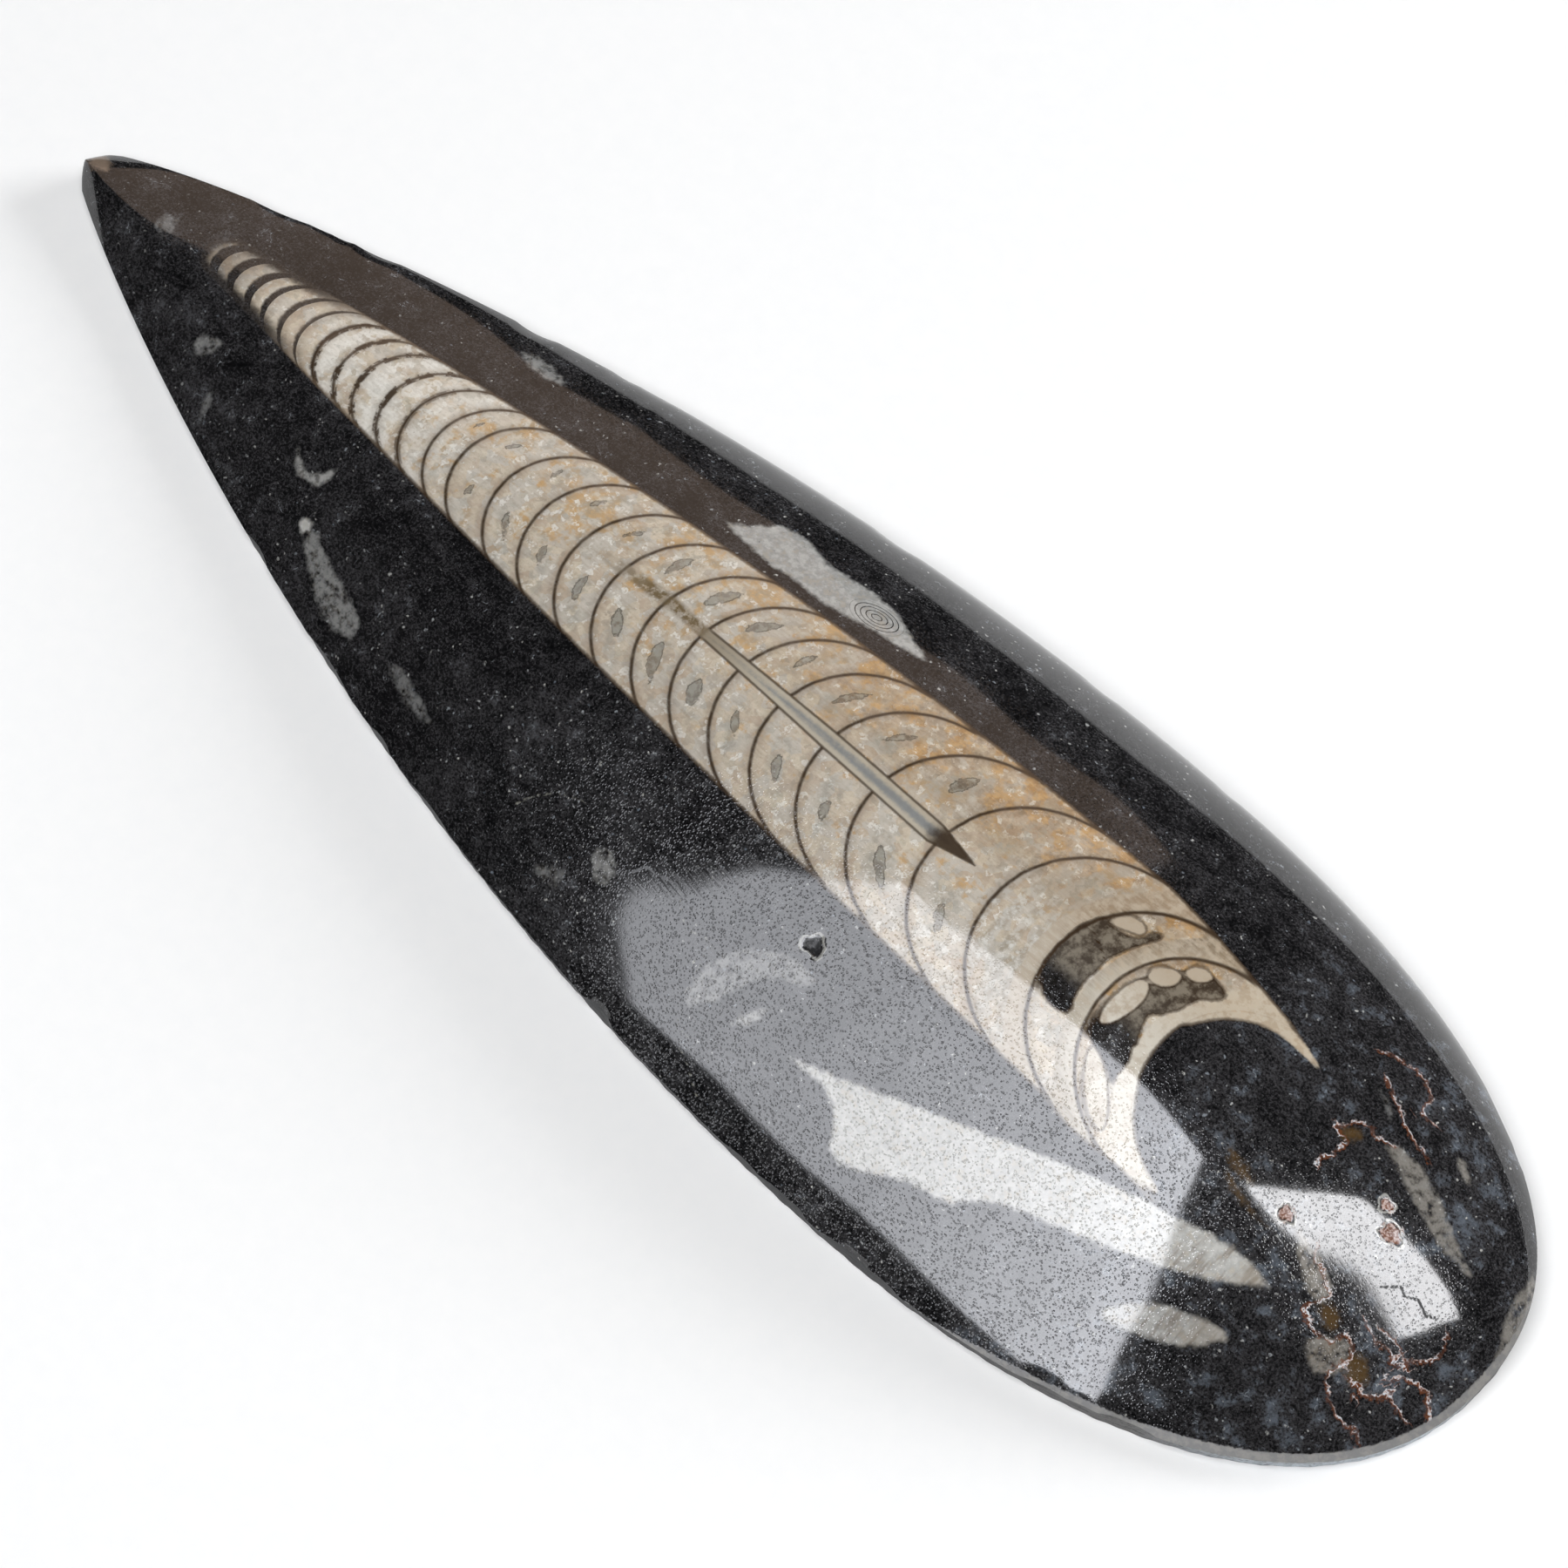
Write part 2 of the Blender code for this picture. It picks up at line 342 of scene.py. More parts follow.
def plaque_mesh():
    rings = plaque_points()
    count = len(rings[0])
    rows = [[row * count + i for i in range(count)] for row in range(len(rings))]
    faces, finishes = [], []
    for row, (upper, lower) in enumerate(zip(rows, rows[1:])):
        for i in range(count):
            k = (i + 1) % count
            faces.append((upper[i], lower[i], lower[k], upper[k]))
            finishes.append(FACE if row < RINGS else EDGE)
    base = rows[-1]
    for i in range(count // 2):
        corners = [base[i], base[-i], base[-i - 1], base[i + 1]]
        corners = [corner for k, corner in enumerate(corners) if corner not in corners[:k]]
        faces.append(tuple(corners))
        finishes.append(BASE)
    data = bpy.data.meshes.new("polished_plaque")
    data.from_pydata(np.concatenate(rings).tolist(), [], faces)
    data.polygons.foreach_set("material_index", finishes)
    mesh = bmesh.new()
    mesh.from_mesh(data)
    bmesh.ops.remove_doubles(mesh, verts=mesh.verts, dist=WELD)
    bmesh.ops.dissolve_degenerate(mesh, edges=mesh.edges, dist=WELD / 4)
    bmesh.ops.recalc_face_normals(mesh, faces=mesh.faces)
    mesh.to_mesh(data)
    mesh.free()
    data.shade_smooth()
    data.set_sharp_from_angle(angle=SHARP_ANGLE)
    return data


# ======== What lies in the face ========

FAR = 9.0  # farther than any marking's edge is looked for


def rounded(points, times=2):
    """Cuts the corners of a closed outline, so that it runs in curves."""
    loop = np.array(points, float)
    for _ in range(times):
        after = np.roll(loop, -1, axis=0)
        loop = np.stack([0.75 * loop + 0.25 * after, 0.25 * loop + 0.75 * after], axis=1).reshape(-1, 2)
    return loop


def nearest(lines, x, y):
    """Distance to the nearest line, positive on its left, and the same distance without a side."""
    signed, best = np.full(x.shape, FAR), np.full(x.shape, FAR)
    for points in lines:
        for (ax, ay), (bx, by) in zip(points, points[1:]):
            along, across = bx - ax, by - ay
            part = np.clip(((x - ax) * along + (y - ay) * across) / (along**2 + across**2), 0.0, 1.0)
            far = np.hypot(x - ax - part * along, y - ay - part * across)
            side = np.where(along * (y - ay) > across * (x - ax), 1.0, -1.0)
            signed = np.where(far < best, side * far, signed)
            best = np.minimum(best, far)
    return signed, best


def inside_distance(points, x, y):
    """Distance to a closed outline, positive inside it."""
    loop = [tuple(point) for point in points]
    loop.append(loop[0])
    inside = np.zeros(x.shape, bool)
    for (ax, ay), (bx, by) in zip(loop, loop[1:]):
        if ay != by:
            inside ^= ((ay > y) != (by > y)) & (x < (bx - ax) * (y - ay) / (by - ay) + ax)
    _, best = nearest([loop], x, y)
    return np.where(inside, best, -best)


def read_off(table, x):
    """The value at x in a table of places and values, straight between its rows."""
    return np.interp(x, *zip(*table))


def shell_half_width(x):
    return SHELL_WIDEST * np.sin(np.pi / 2 * (x - SHELL_TAPER_FROM) / SHELL_TAPER_OVER)


def chambers(x, y):
    """Chamber count at each place, whole on a septum, and the chamber's length across the septa."""
    apex = np.array(x)
    for _ in range(SETTLING_ROUNDS):
        width = shell_half_width(np.clip(apex, 0.0, LENGTH))
        width = width - np.where(y > SHELL_AXIS, read_off(RIGHT_DRAWN_IN, apex), 0.0)
        bow = read_off(SEPTUM_BOW, apex)
        across = np.clip(np.abs(y - SHELL_AXIS) / width, 0.0, SEPTUM_REACH * bow)
        lie = np.sqrt(bow**2 - across**2)
        apex = x - width * (bow - lie)
    septa = FIRST_SEPTUM + np.concatenate([[0.0], np.cumsum(CHAMBER_LENGTHS)])
    count = np.interp(apex, septa, np.arange(len(septa)))
    count = count + np.minimum(apex - septa[0], 0.0) / CHAMBER_LENGTHS[0]
    count = count + np.maximum(apex - septa[-1], 0.0) / CHAMBER_LENGTHS[-1]
    middles = (septa[1:] + septa[:-1]) / 2
    length = np.interp(apex, middles, CHAMBER_LENGTHS)
    return count, length * lie / bow


# The left horn runs on past the last septum; its grey filling and its white leaf lie in it.
HORN = (
    (120, -8.5), (123, -4.5), (126, -4), (129, -2.5), (130.6, -4), (131.5, -5.4), (132.5, -6.7),
    (133.8, -7.8), (135.5, -8.7), (138.5, -9.6), (135.2, -10), (132.1, -10.4), (129.4, -10.6), (126, -10.2),
)
# The right wall, which tapers on past the last septum.
RIGHT_WALL = (
    (126, 4), (127.5, 9.5), (131, 9.2), (134.1, 8.7), (137.7, 8.1), (140.2, 7.3), (137.9, 7.3),
    (136.1, 7.2), (134.8, 6.9), (133.5, 6.3), (131.9, 4.9), (131, 3.7), (130, 1.8), (127, 0.5),
)


def shell_body(x, y, count, length):
    """Distance inside the pale body of the shell."""
    wall = shell_half_width(x) - np.abs(y - SHELL_AXIS)
    wall = np.minimum(wall, read_off(RIGHT_LIMIT, x) - y)
    start = (count - FIRST_CHAMBER_FROM) * length
    end = (LAST_SEPTUM - count) * length
    body = np.minimum(np.minimum(wall, start), end)
    for points in (HORN, RIGHT_WALL):
        body = np.maximum(body, inside_distance(rounded(points), x, y))
    return body


def siphuncle(x, y):
    ends = np.minimum(x - TUBE_FROM, TUBE_TO - x)
    return np.minimum(read_off(TUBE_HALF_WIDTHS, x) - np.abs(y - read_off(TUBE_MIDDLES, x)), ends)


# Lens cores, the gaps that crystal growth left last in a chamber's two halves:
# chamber, nearer and farther end across the shell (left negative), place in the chamber, half thickness.
CORE_LEAN = 0.06
CORES = (
    (12, 0.3, 0.45, 0.5, 0.12), (13, -0.62, -0.4, 0.5, 0.25), (13, 0.3, 0.55, 0.45, 0.2),
    (14, -0.7, -0.35, 0.52, 0.4), (14, 0.35, 0.6, 0.45, 0.2), (15, -0.65, -0.35, 0.5, 0.35),
    (15, 0.4, 0.62, 0.45, 0.3), (16, -0.68, -0.3, 0.5, 0.42), (16, 0.34, 0.58, 0.42, 0.28),
    (17, -0.66, -0.33, 0.5, 0.55), (17, 0.3, 0.66, 0.46, 0.42), (18, -0.78, -0.3, 0.48, 0.55),
    (18, 0.28, 0.68, 0.5, 0.55), (19, -0.68, -0.34, 0.5, 0.6), (19, 0.34, 0.66, 0.46, 0.5),
    (20, -0.58, -0.34, 0.5, 0.42), (20, 0.36, 0.62, 0.48, 0.3), (21, -0.66, -0.38, 0.5, 0.4),
    (21, 0.3, 0.62, 0.5, 0.4), (22, -0.62, -0.4, 0.5, 0.4), (22, 0.34, 0.6, 0.5, 0.35),
    (23, -0.7, -0.38, 0.52, 0.55), (23, 0.36, 0.66, 0.5, 0.5), (24, -0.66, -0.4, 0.5, 0.45),
)


def lens_cores(x, y, count, length):
    """Distance inside the nearest core."""
    v = (y - SHELL_AXIS) / shell_half_width(x)
    best = np.full(x.shape, -FAR)
    for chamber, near, far, place, half in CORES:
        middle, reach = (near + far) / 2, abs(far - near) / 2
        along = (v - middle) / reach
        lean = CORE_LEAN * np.sin(chamber * 2.1) * along
        inside = half * (1.0 - along**2) - np.abs(count - chamber - place - lean) * length
        best = np.maximum(best, np.where(np.abs(along) < 2.0, inside, -FAR))
    return best


# Pale rounded crystals against the last two septa, and the leaf in the left horn.
PEARLS = (
    ((119.4, 4.3), (120.2, 4.3), (121.2, 4.8), (122.1, 5.1), (122.3, 5.9), (121.3, 6.4), (120.2, 5.8)),
    ((124.9, -2.9), (124.3, -1.5), (124.2, 0.2), (124.4, 1.8), (124.9, 2.7), (125.6, 2.6), (126.2, 1.6),
     (126.3, 0.4), (126.1, -1), (125.7, -2.3)),
    ((124.8, 2.9), (124.8, 3.9), (125.6, 4.8), (126.5, 5.2), (127.1, 4.8), (127.1, 3.8), (126.4, 3),
     (125.6, 2.7)),
    ((126.6, 5.4), (126.9, 6.4), (127.8, 7), (128.7, 6.9), (128.8, 6.3), (128.2, 5.4), (127.4, 5.1)),
    ((125.6, -4.4), (126.8, -4.6), (128, -5.2), (129.4, -6.3), (130.9, -7.9), (131.5, -9.3), (129.9, -9),
     (128, -7.8), (126.6, -6.2)),
)
# Grey to black fillings of the last chambers, with the crust's scalloped edge.
FILLINGS = (
    ((119.6, -4), (118.6, -2.1), (118.4, -0.6), (118.3, 1.2), (118.5, 3), (119.3, 4.3), (120.3, 4.2),
     (121.8, 4.6), (122.4, 5.2), (122.6, 6.4), (123.7, 6.5), (122.9, 5), (122.3, 3.7), (121.9, 2.6),
     (121.6, 1.6), (121.8, 0.2), (121.7, -1.2), (122.1, -2.6), (122.9, -3.9), (121.6, -4.4)),
    ((125, -4), (124.6, -3), (124.4, -1), (124.4, 1), (124.9, 2.8), (126, 4.6), (127.4, 6.4), (128.9, 6.9),
     (130.6, 6.4), (130.4, 5.5), (129.6, 4.9), (129.1, 4.2), (128.8, 3.3), (128.9, 2.7), (128.3, 1.9),
     (128.1, 1.3), (127.4, 0.7), (127.4, 0), (127.7, -0.7), (128.4, -1.8), (128.3, -2.5), (128.9, -3.3),
     (129, -4.6), (129.4, -6), (127.9, -5), (125.8, -4.4)),
)
PARTITION = ((118.4, 2.6), (119.6, 2.6), (120.7, 2.1), (121.6, 1.6))

# Pale fragments of other shells: whiteness, then the outline.
FRAGMENTS = (
    (0.95, ((107, -20.8), (110.5, -19.9), (115.5, -18.4), (119, -17.1), (123.5, -15.6), (128, -13.8),
        (132, -12.4), (136, -11), (142, -9), (146, -8), (149.5, -8.2), (148, -9.3), (145, -11.7),
        (140, -14.2), (133, -17), (130, -17.8), (127, -19.7), (126, -20.9), (121, -21.9), (118.6, -23.4),
        (115.4, -24), (114.7, -22.4), (113, -20.9), (110.4, -20.7))),
    (0.8, ((140, -19), (142, -16.2), (145, -14.2), (150, -12.6), (147.5, -16), (143, -18.4))),
    (0.72, ((69.5, 9.8), (72.1, 9.6), (75, 9.4), (78.5, 9.5), (81.8, 9.7), (84.2, 10.1), (86.8, 10.7),
        (89.8, 11.2), (92.5, 12), (89.3, 12.8), (86.7, 14), (84.6, 14.2), (81.9, 13.9), (79.2, 13.2),
        (77, 14), (73.5, 13.9), (72.6, 12.3), (71.2, 10.6))),
    (0.5, ((43.4, 11), (44.6, 12.5), (46.9, 12.3), (50, 11.3), (49.4, 10.9), (46.9, 10.2))),
    (0.42, ((42.6, -13.4), (44, -13), (47.5, -14.6), (50.5, -15.3), (53.5, -16.4), (53, -18.2), (50, -18),
        (47, -16.6), (44.5, -15.2))),
    (0.9, ((42, -13.2), (43.2, -12.6), (44, -13.5), (43, -14.3))),
    (0.3, ((57, -17.6), (59, -17.2), (62, -18), (65, -19.2), (62, -19.4))),
    (0.62, ((37.3, -8.9), (38.2, -10.2), (39.7, -10.9), (41.6, -10.6), (42.2, -9.4), (41.8, -8.2),
        (41.3, -9.2), (40.6, -10.1), (39.6, -10.1), (38.6, -9.5))),
    (0.4, ((22.2, -7.5), (22.6, -6.3), (25, -5.9), (24.8, -7.2), (23.4, -8.2))),
    (0.3, ((27.3, -12), (26.7, -10.5), (26.8, -9), (28, -10.9))),
    (0.28, ((10.6, -1.8), (11.1, 0.2), (12.8, -0.1), (13, -2.6))),
    (0.42, ((83.3, -18.8), (84.6, -17.5), (86.6, -18.6), (86.4, -20.2), (84.8, -20.3))),
    (0.3, ((79.5, -22.4), (81.7, -21.1), (83.2, -21.3), (82.2, -22.7))),
    (0.42, ((98, -23), (97.4, -21.2), (97.7, -19.1), (98.8, -17.4), (100.5, -16), (102.7, -15),
        (104.9, -14.8), (106.5, -15.5), (105, -16.6), (102.4, -17.3), (101.2, -19.4), (100, -21.6))),
    (0.6, ((101.9, -21.9), (103, -20), (104.4, -18.8), (104, -21))),
    (0.42, ((147, 6.5), (148.5, 6.6), (150, 5.7), (152.4, 5.2), (154.6, 4.3), (157, 4.3), (159.6, 4.7),
        (157.4, 5.5), (155.3, 6.3), (153.4, 7.2), (150.5, 8), (148.4, 8))),
    (0.5, ((150.9, 11.8), (152.6, 10.2), (154.2, 10.1), (153, 11.2))),
    (0.3, ((143.5, 10.2), (144.9, 9.4), (146.8, 8.6), (145, 10.2))),
    (0.55, ((147, -3.2), (149.3, -3.6), (151.4, -4.1), (153, -5), (152.5, -6.8), (150.8, -6.3),
        (148.7, -5.2))),
    (0.5, ((153.4, -9.2), (154.2, -7.7), (155.9, -6.3), (156.9, -6.9), (157, -8.4), (156.4, -9.8),
        (155.4, -10.5))),
    (0.38, ((162.3, 6.2), (162, 8.3), (161.4, 10.6), (163.6, 8.4), (164.6, 4.4), (164.8, 1.4),
        (163.4, 3.8))),
)
# Thin scalloped crusts round the open vugs in the butt.
CRUSTS = (
    ((145, 1.5), (144.6, 2.1), (145.2, 3.1), (145.1, 4.4), (143.8, 4.8), (144.6, 6.3), (145.6, 7),
     (146.5, 6.8), (147.7, 7.4)),
    ((143.7, 11.3), (144.8, 10.7), (146.4, 10.3), (147.3, 9.4), (148.9, 9), (150.3, 8.9)),
    ((141.6, 12.9), (142.8, 13.8), (144.5, 14.1), (145.5, 14.4), (147.1, 13.3), (147.4, 11.4),
     (148.8, 11.7)),
    ((149.4, -3.2), (149.9, -3.9), (151.4, -4.4), (152.6, -5.3), (152, -7.3), (152.6, -7.9), (154, -7.9),
     (154.8, -7.5), (155.5, -6.3), (156.5, -6.4), (156.9, -7.9), (156.5, -9.6), (157.5, -10.3),
     (158.8, -10.9), (159.7, -10.5), (160.5, -10.4), (161.4, -10.8)),
    ((157.8, -8.4), (159.1, -8), (159.1, -8.9), (160.1, -7.4), (160.8, -6.3), (161.7, -7), (162.9, -6.8)),
    ((159.8, -6.1), (160.4, -5), (161.5, -4.5), (162.7, -4), (163.8, -5.3)),
    ((155.9, -4.5), (157.3, -4.8), (158.8, -4.3), (159.3, -4.9), (160.1, -4.3), (158.9, -3.8), (157.1, -4)),
    ((158.9, -4.5), (160.1, -3.7), (161.1, -2.7), (161.3, -1.2), (160.6, -0.1)),
)
RINGS_OF_CRUST = ((150.8, 3.3, 0.5), (152.6, 1.9, 0.85), (146, -3.4, 0.6))  # x, y, radius
# Fine dark cracks, and fine pale ones.
DARK_CRACKS = (
    ((154.9, -1.7), (155.9, -0.4), (156.6, -0.7), (157.5, 0), (158.7, -0.4), (159.5, 0.3)),
    ((87.5, -18.1), (88.2, -17.1), (89.6, -17), (91.4, -16.7)),
    ((103.8, -14.2), (105.1, -14.3), (106.2, -14.6)),
)
PALE_CRACKS = (
    ((91.2, -16.3), (92.6, -17.6), (94.3, -18.7), (96.4, -18.2), (97.2, -19.8), (97.4, -21.2),
     (97.7, -22.7), (98.4, -23.8), (100.4, -24.3), (102.5, -24.4), (105.1, -24.6)),
    ((98.4, -23.8), (99.3, -24.9), (101.1, -25.4), (103.6, -26.7)),
    ((75.3, -19.7), (76.4, -18.4), (77.8, -17.2), (80.2, -16.4), (81.4, -16.4)),
)
# Brown and golden patches that show through the black stone, and the tan end of the tip.
STAINS = (
    ((140.1, -4.2), (142.3, -4.6), (144.7, -5.4), (146.1, -5.2), (144.1, -5.4), (141.8, -5.6)),
    ((139, -2.6), (141, -2.8), (143, -3.6), (142, -4.2), (140, -3.8)),
    ((152.3, -6.7), (153.2, -5.3), (155, -6.2), (154.4, -7.5)),
    ((157, -8.6), (156.2, -7.2), (157.6, -6.2), (159.2, -7.2), (158.6, -8.8)),
    ((143.9, 5), (144.8, 4.2), (146.2, 5.6), (145.4, 6.6)),
    ((0.3, -0.9), (2.4, -1.3), (3.8, -0.6), (2.2, 1), (0.4, 0.9)),
)
# Growth lines at the end of the white fragment on the right flank.
GROWTH_LINES_AT, GROWTH_LINES_SIZE, GROWTH_LINES_TURN = (85.9, 12.1), (2.6, 1.5), 0.15


def union(outlines, x, y):
    return np.max([inside_distance(rounded(points), x, y) for points in outlines], axis=0)


def fragments(x, y):
    """Distance inside the nearest pale fragment, and how white it is."""
    best, tone = np.full(x.shape, -FAR), np.zeros(x.shape)
    for whiteness, points in FRAGMENTS:
        here = inside_distance(rounded(points, 1), x, y)
        tone = np.where(here > best, whiteness, tone)
        best = np.maximum(best, here)
    return best, tone


def growth_lines(x, y):
    """Count of growth lines out from their middle, large far from them."""
    cx, cy = GROWTH_LINES_AT
    along, across = GROWTH_LINES_SIZE
    c, s = math.cos(GROWTH_LINES_TURN), math.sin(GROWTH_LINES_TURN)
    a, b = ((x - cx) * c + (y - cy) * s) / along, ((y - cy) * c - (x - cx) * s) / across
    return np.hypot(a, b)


def ground_rim(x, y):
    """How far each place lies within the band that is ground dull round the left of the butt."""
    loop = outline()
    _, far = nearest([loop[loop[:, 0] > RIM_FROM - 4.0][::4]], x, y)
    wide = np.clip((x - RIM_FROM) / RIM_WIDENS_OVER, 0, 1) * np.clip((RIM_TO_Y - y) / RIM_NARROWS_OVER, 0, 1)
    return RIM_WIDTH * wide * (2.0 - wide) - far


def read(items, name, width=1, kind=np.float32):
    """One property of all items, with a row for each where it is more than one number."""
    values = np.empty(len(items) * width, kind)
    items.foreach_get(name, values)
    return values.reshape(-1, width) if width > 1 else values


def add_fields(data):
    """Stores what lies in the face at each point of the mesh, three values to an attribute."""
    points = read(data.vertices, "co", 3).astype(float)
    x, y = measured_places(*points.T)
    count, length = chambers(x, y)
    body = shell_body(x, y, count, length)
    crust, to_crust = nearest(CRUSTS, x, y)
    for cx, cy, radius in RINGS_OF_CRUST:
        out = np.hypot(x - cx, y - cy) - radius
        crust = np.where(np.abs(out) < to_crust, out, crust)
        to_crust = np.minimum(to_crust, np.abs(out))
    fragment, tone = fragments(x, y)
    fields = {
        "shell": (count, length, body),
        "inner": (siphuncle(x, y), lens_cores(x, y, count, length), union(PEARLS, x, y)),
        "filling": (union(FILLINGS, x, y), nearest([PARTITION], x, y)[1], growth_lines(x, y)),
        "fragment": (fragment, tone, crust),
        "cracks": (nearest(DARK_CRACKS, x, y)[1], nearest(PALE_CRACKS, x, y)[1], y - SHELL_AXIS),
        "place": (x, y, union(STAINS, x, y)),
        "wear": (inside_vugs(x, y), ground_rim(*points.T[:2]), to_crust),
    }
    for name, values in fields.items():
        attribute = data.attributes.new(name, "FLOAT_VECTOR", "POINT")
        attribute.data.foreach_set("vector", np.column_stack(values).astype(np.float32).ravel())


# ---- One flat map for the finish: the face in two halves, the edge in two strips, the base ----
MAP_GAP = 0.012
FACE_SPLIT_AT = LENGTH / 2
EDGE_STRIP = 0.022
CROWN_OVER_EDGE = 3.2  # the crown's height over the height that an edge strip has room for
# Round the tip and the butt the edge runs across the plaque, so its place is taken from both.
ACROSS_SHARE = 0.35


def add_map(data):
    points = read(data.vertices, "co", 3)
    corner = points[read(data.loops, "vertex_index", kind=np.int32)]
    starts, sizes, finishes = (
        read(data.polygons, name, kind=np.int32) for name in ("loop_start", "loop_total", "material_index")
    )
    polygon = np.repeat(np.arange(len(sizes)), sizes)
    middle = np.add.reduceat(corner, starts, axis=0) / sizes[:, None]
    butt = middle[polygon, 0] > FACE_SPLIT_AT
    right = middle[polygon, 1] > 0
    x, y, z = corner.T
    side_width = LEFT_WIDTH + RIGHT_WIDTH
    scale = (1.0 - 3 * MAP_GAP) / (2 * side_width)
    face_u = MAP_GAP + (x - np.where(butt, FACE_SPLIT_AT, 0.0)) * scale
    face_v = MAP_GAP + (y + LEFT_WIDTH) * scale + np.where(butt, 0.0, side_width * scale + MAP_GAP)
    edge_from = 2 * MAP_GAP + FACE_SPLIT_AT * scale
    up = np.clip(z * CROWN_OVER_EDGE / points[:, 2].max(), 0, 1)
    run = (x + ACROSS_SHARE * np.abs(y)) / (LENGTH + ACROSS_SHARE * side_width)
    edge_u = edge_from + np.where(right, EDGE_STRIP + MAP_GAP, 0.0) + up * EDGE_STRIP
    edge_v = MAP_GAP + run * (1.0 - 2 * MAP_GAP)
    base_from = edge_from + 2 * (EDGE_STRIP + MAP_GAP)
    base_scale = (1.0 - base_from - MAP_GAP) / side_width
    base_u = base_from + (y + LEFT_WIDTH) * base_scale
    base_v = MAP_GAP + x * base_scale
    u = np.choose(finishes[polygon], [face_u, edge_u, base_u])
    v = np.choose(finishes[polygon], [face_v, edge_v, base_v])
    layer = data.uv_layers.new(name="OFBake")
    layer.data.foreach_set("uv", np.column_stack([u, v]).astype(np.float32).ravel())


# ======== Finishes ========


def shade(red, green, blue):
    """A colour given as a screen shows it, 0 to 255, in the linear values that shaders take."""
    parts = [value / 255.0 for value in (red, green, blue)]
    linear = [part / 12.92 if part <= 0.04045 else ((part + 0.055) / 1.055) ** 2.4 for part in parts]
    return (*linear, 1.0)


class Value:
    """A socket of a finish. Arithmetic on it adds Math nodes to that finish."""

    def __init__(self, finish, socket):
        self.finish, self.socket = finish, socket

    def math(self, operation, *others):
        return self.finish.math(operation, self, *others)

    def fraction(self):
        return self.math("FRACT")

    def __add__(self, other):
        return self.math("ADD", other)

    __radd__ = __add__

    def __sub__(self, other):
        return self.math("SUBTRACT", other)

    def __rsub__(self, other):
        return self.finish.math("SUBTRACT", other, self)

    def __mul__(self, other):
        return self.math("MULTIPLY", other)

    __rmul__ = __mul__

    def __abs__(self):
        return self.math("ABSOLUTE")

    def __or__(self, other):
        return self.math("MAXIMUM", other)

    def __and__(self, other):
        return self.math("MINIMUM", other)


class Finish:
    """The node tree of a material, or of the room."""

    def __init__(self, owner, surface="Principled BSDF", **constants):
        owner.use_nodes = True
        self.owner, self.tree = owner, owner.node_tree
        self.surface = self.tree.nodes[surface]
        for socket, value in constants.items():
            self.surface.inputs[socket].default_value = value

    def node(self, kind, settings=None, sockets=None, output=0):
        node = self.tree.nodes.new(kind)
        for name, value in (settings or {}).items():
            setattr(node, name, value)
        for name, value in (sockets or {}).items():
            if isinstance(value, Value):
                self.tree.links.new(value.socket, node.inputs[name])
            else:
                node.inputs[name].default_value = value
        return Value(self, node.outputs[output])

    def math(self, operation, *values):
        return self.node("ShaderNodeMath", {"operation": operation}, dict(enumerate(values)))

    def vector(self, operation, vector, by):
        sockets = {0: vector, "Scale" if operation == "SCALE" else 1: by}
        return self.node("ShaderNodeVectorMath", {"operation": operation}, sockets)

    @cached_property
    def place(self):
        """The place on the piece, in mm."""
        return self.vector("SCALE", self.node("ShaderNodeTexCoord", output="Object"), 1 / MM)

    def step(self, value, low, high):
        """0 below low, 1 above high, eased between; the other way round where high is below low."""
        if high < low:
            return 1 - self.step(value, high, low)
        sockets = {"Value": value, "From Min": low, "From Max": high}
        return self.node("ShaderNodeMapRange", {"interpolation_type": "SMOOTHSTEP"}, sockets)

    def mix(self, part, here, there, blend="MIX"):
        settings = {"data_type": "RGBA", "blend_type": blend}
        return self.node("ShaderNodeMix", settings, {0: part, 6: here, 7: there}, output=2)

    def painted(self, colour, *coats):
        """The colour under coats of paint, each given as how much it covers and its colour."""
        for cover, paint in coats:
            colour = self.mix(cover, colour, paint)
        return colour

    def parts(self, vector):
        split = self.node("ShaderNodeSeparateXYZ", sockets={0: vector}).socket.node
        return [Value(self, socket) for socket in split.outputs]

    def field(self, name):
        return self.parts(self.node("ShaderNodeAttribute", {"attribute_name": name}, output="Vector"))

    def joined(self, x, y):
        return self.node("ShaderNodeCombineXYZ", sockets={0: x, 1: y})

    def moved(self, *by):
        return self.vector("ADD", self.place, by)

    def stretched(self, vector, *by):
        return self.vector("MULTIPLY", vector, by)

    def turned(self, degrees):
        sockets = {"Vector": self.place, "Angle": math.radians(degrees)}
        return self.node("ShaderNodeVectorRotate", {"rotation_type": "Z_AXIS"}, sockets)

    def noise(self, per_mm, detail=2.0, roughness=0.5, at=None, output="Fac"):
        sockets = {"Vector": at or self.place, "Scale": per_mm, "Detail": detail, "Roughness": roughness}
        return self.node("ShaderNodeTexNoise", sockets=sockets, output=output)

    def cells(self, per_mm, at):
        """Three lots drawn for each cell, and the distance from the cell's middle."""
        lots = self.node("ShaderNodeTexVoronoi", sockets={"Vector": at, "Scale": per_mm}, output="Color")
        return *self.parts(lots), Value(self, lots.socket.node.outputs["Distance"])

    def warped(self, amount, per_mm):
        """Places pushed about by up to about half of amount, so that edges wander."""
        push = self.vector("SUBTRACT", self.noise(per_mm, output="Color"), (0.5, 0.5, 0.5))
        return self.vector("ADD", self.place, self.vector("SCALE", push, amount))

    def set(self, socket, value):
        self.tree.links.new(value.socket, self.surface.inputs[socket])

    def bump(self, height, distance):
        sockets = {"Height": height, "Distance": distance, "Strength": 1.0}
        self.set("Normal", self.node("ShaderNodeBump", sockets=sockets))


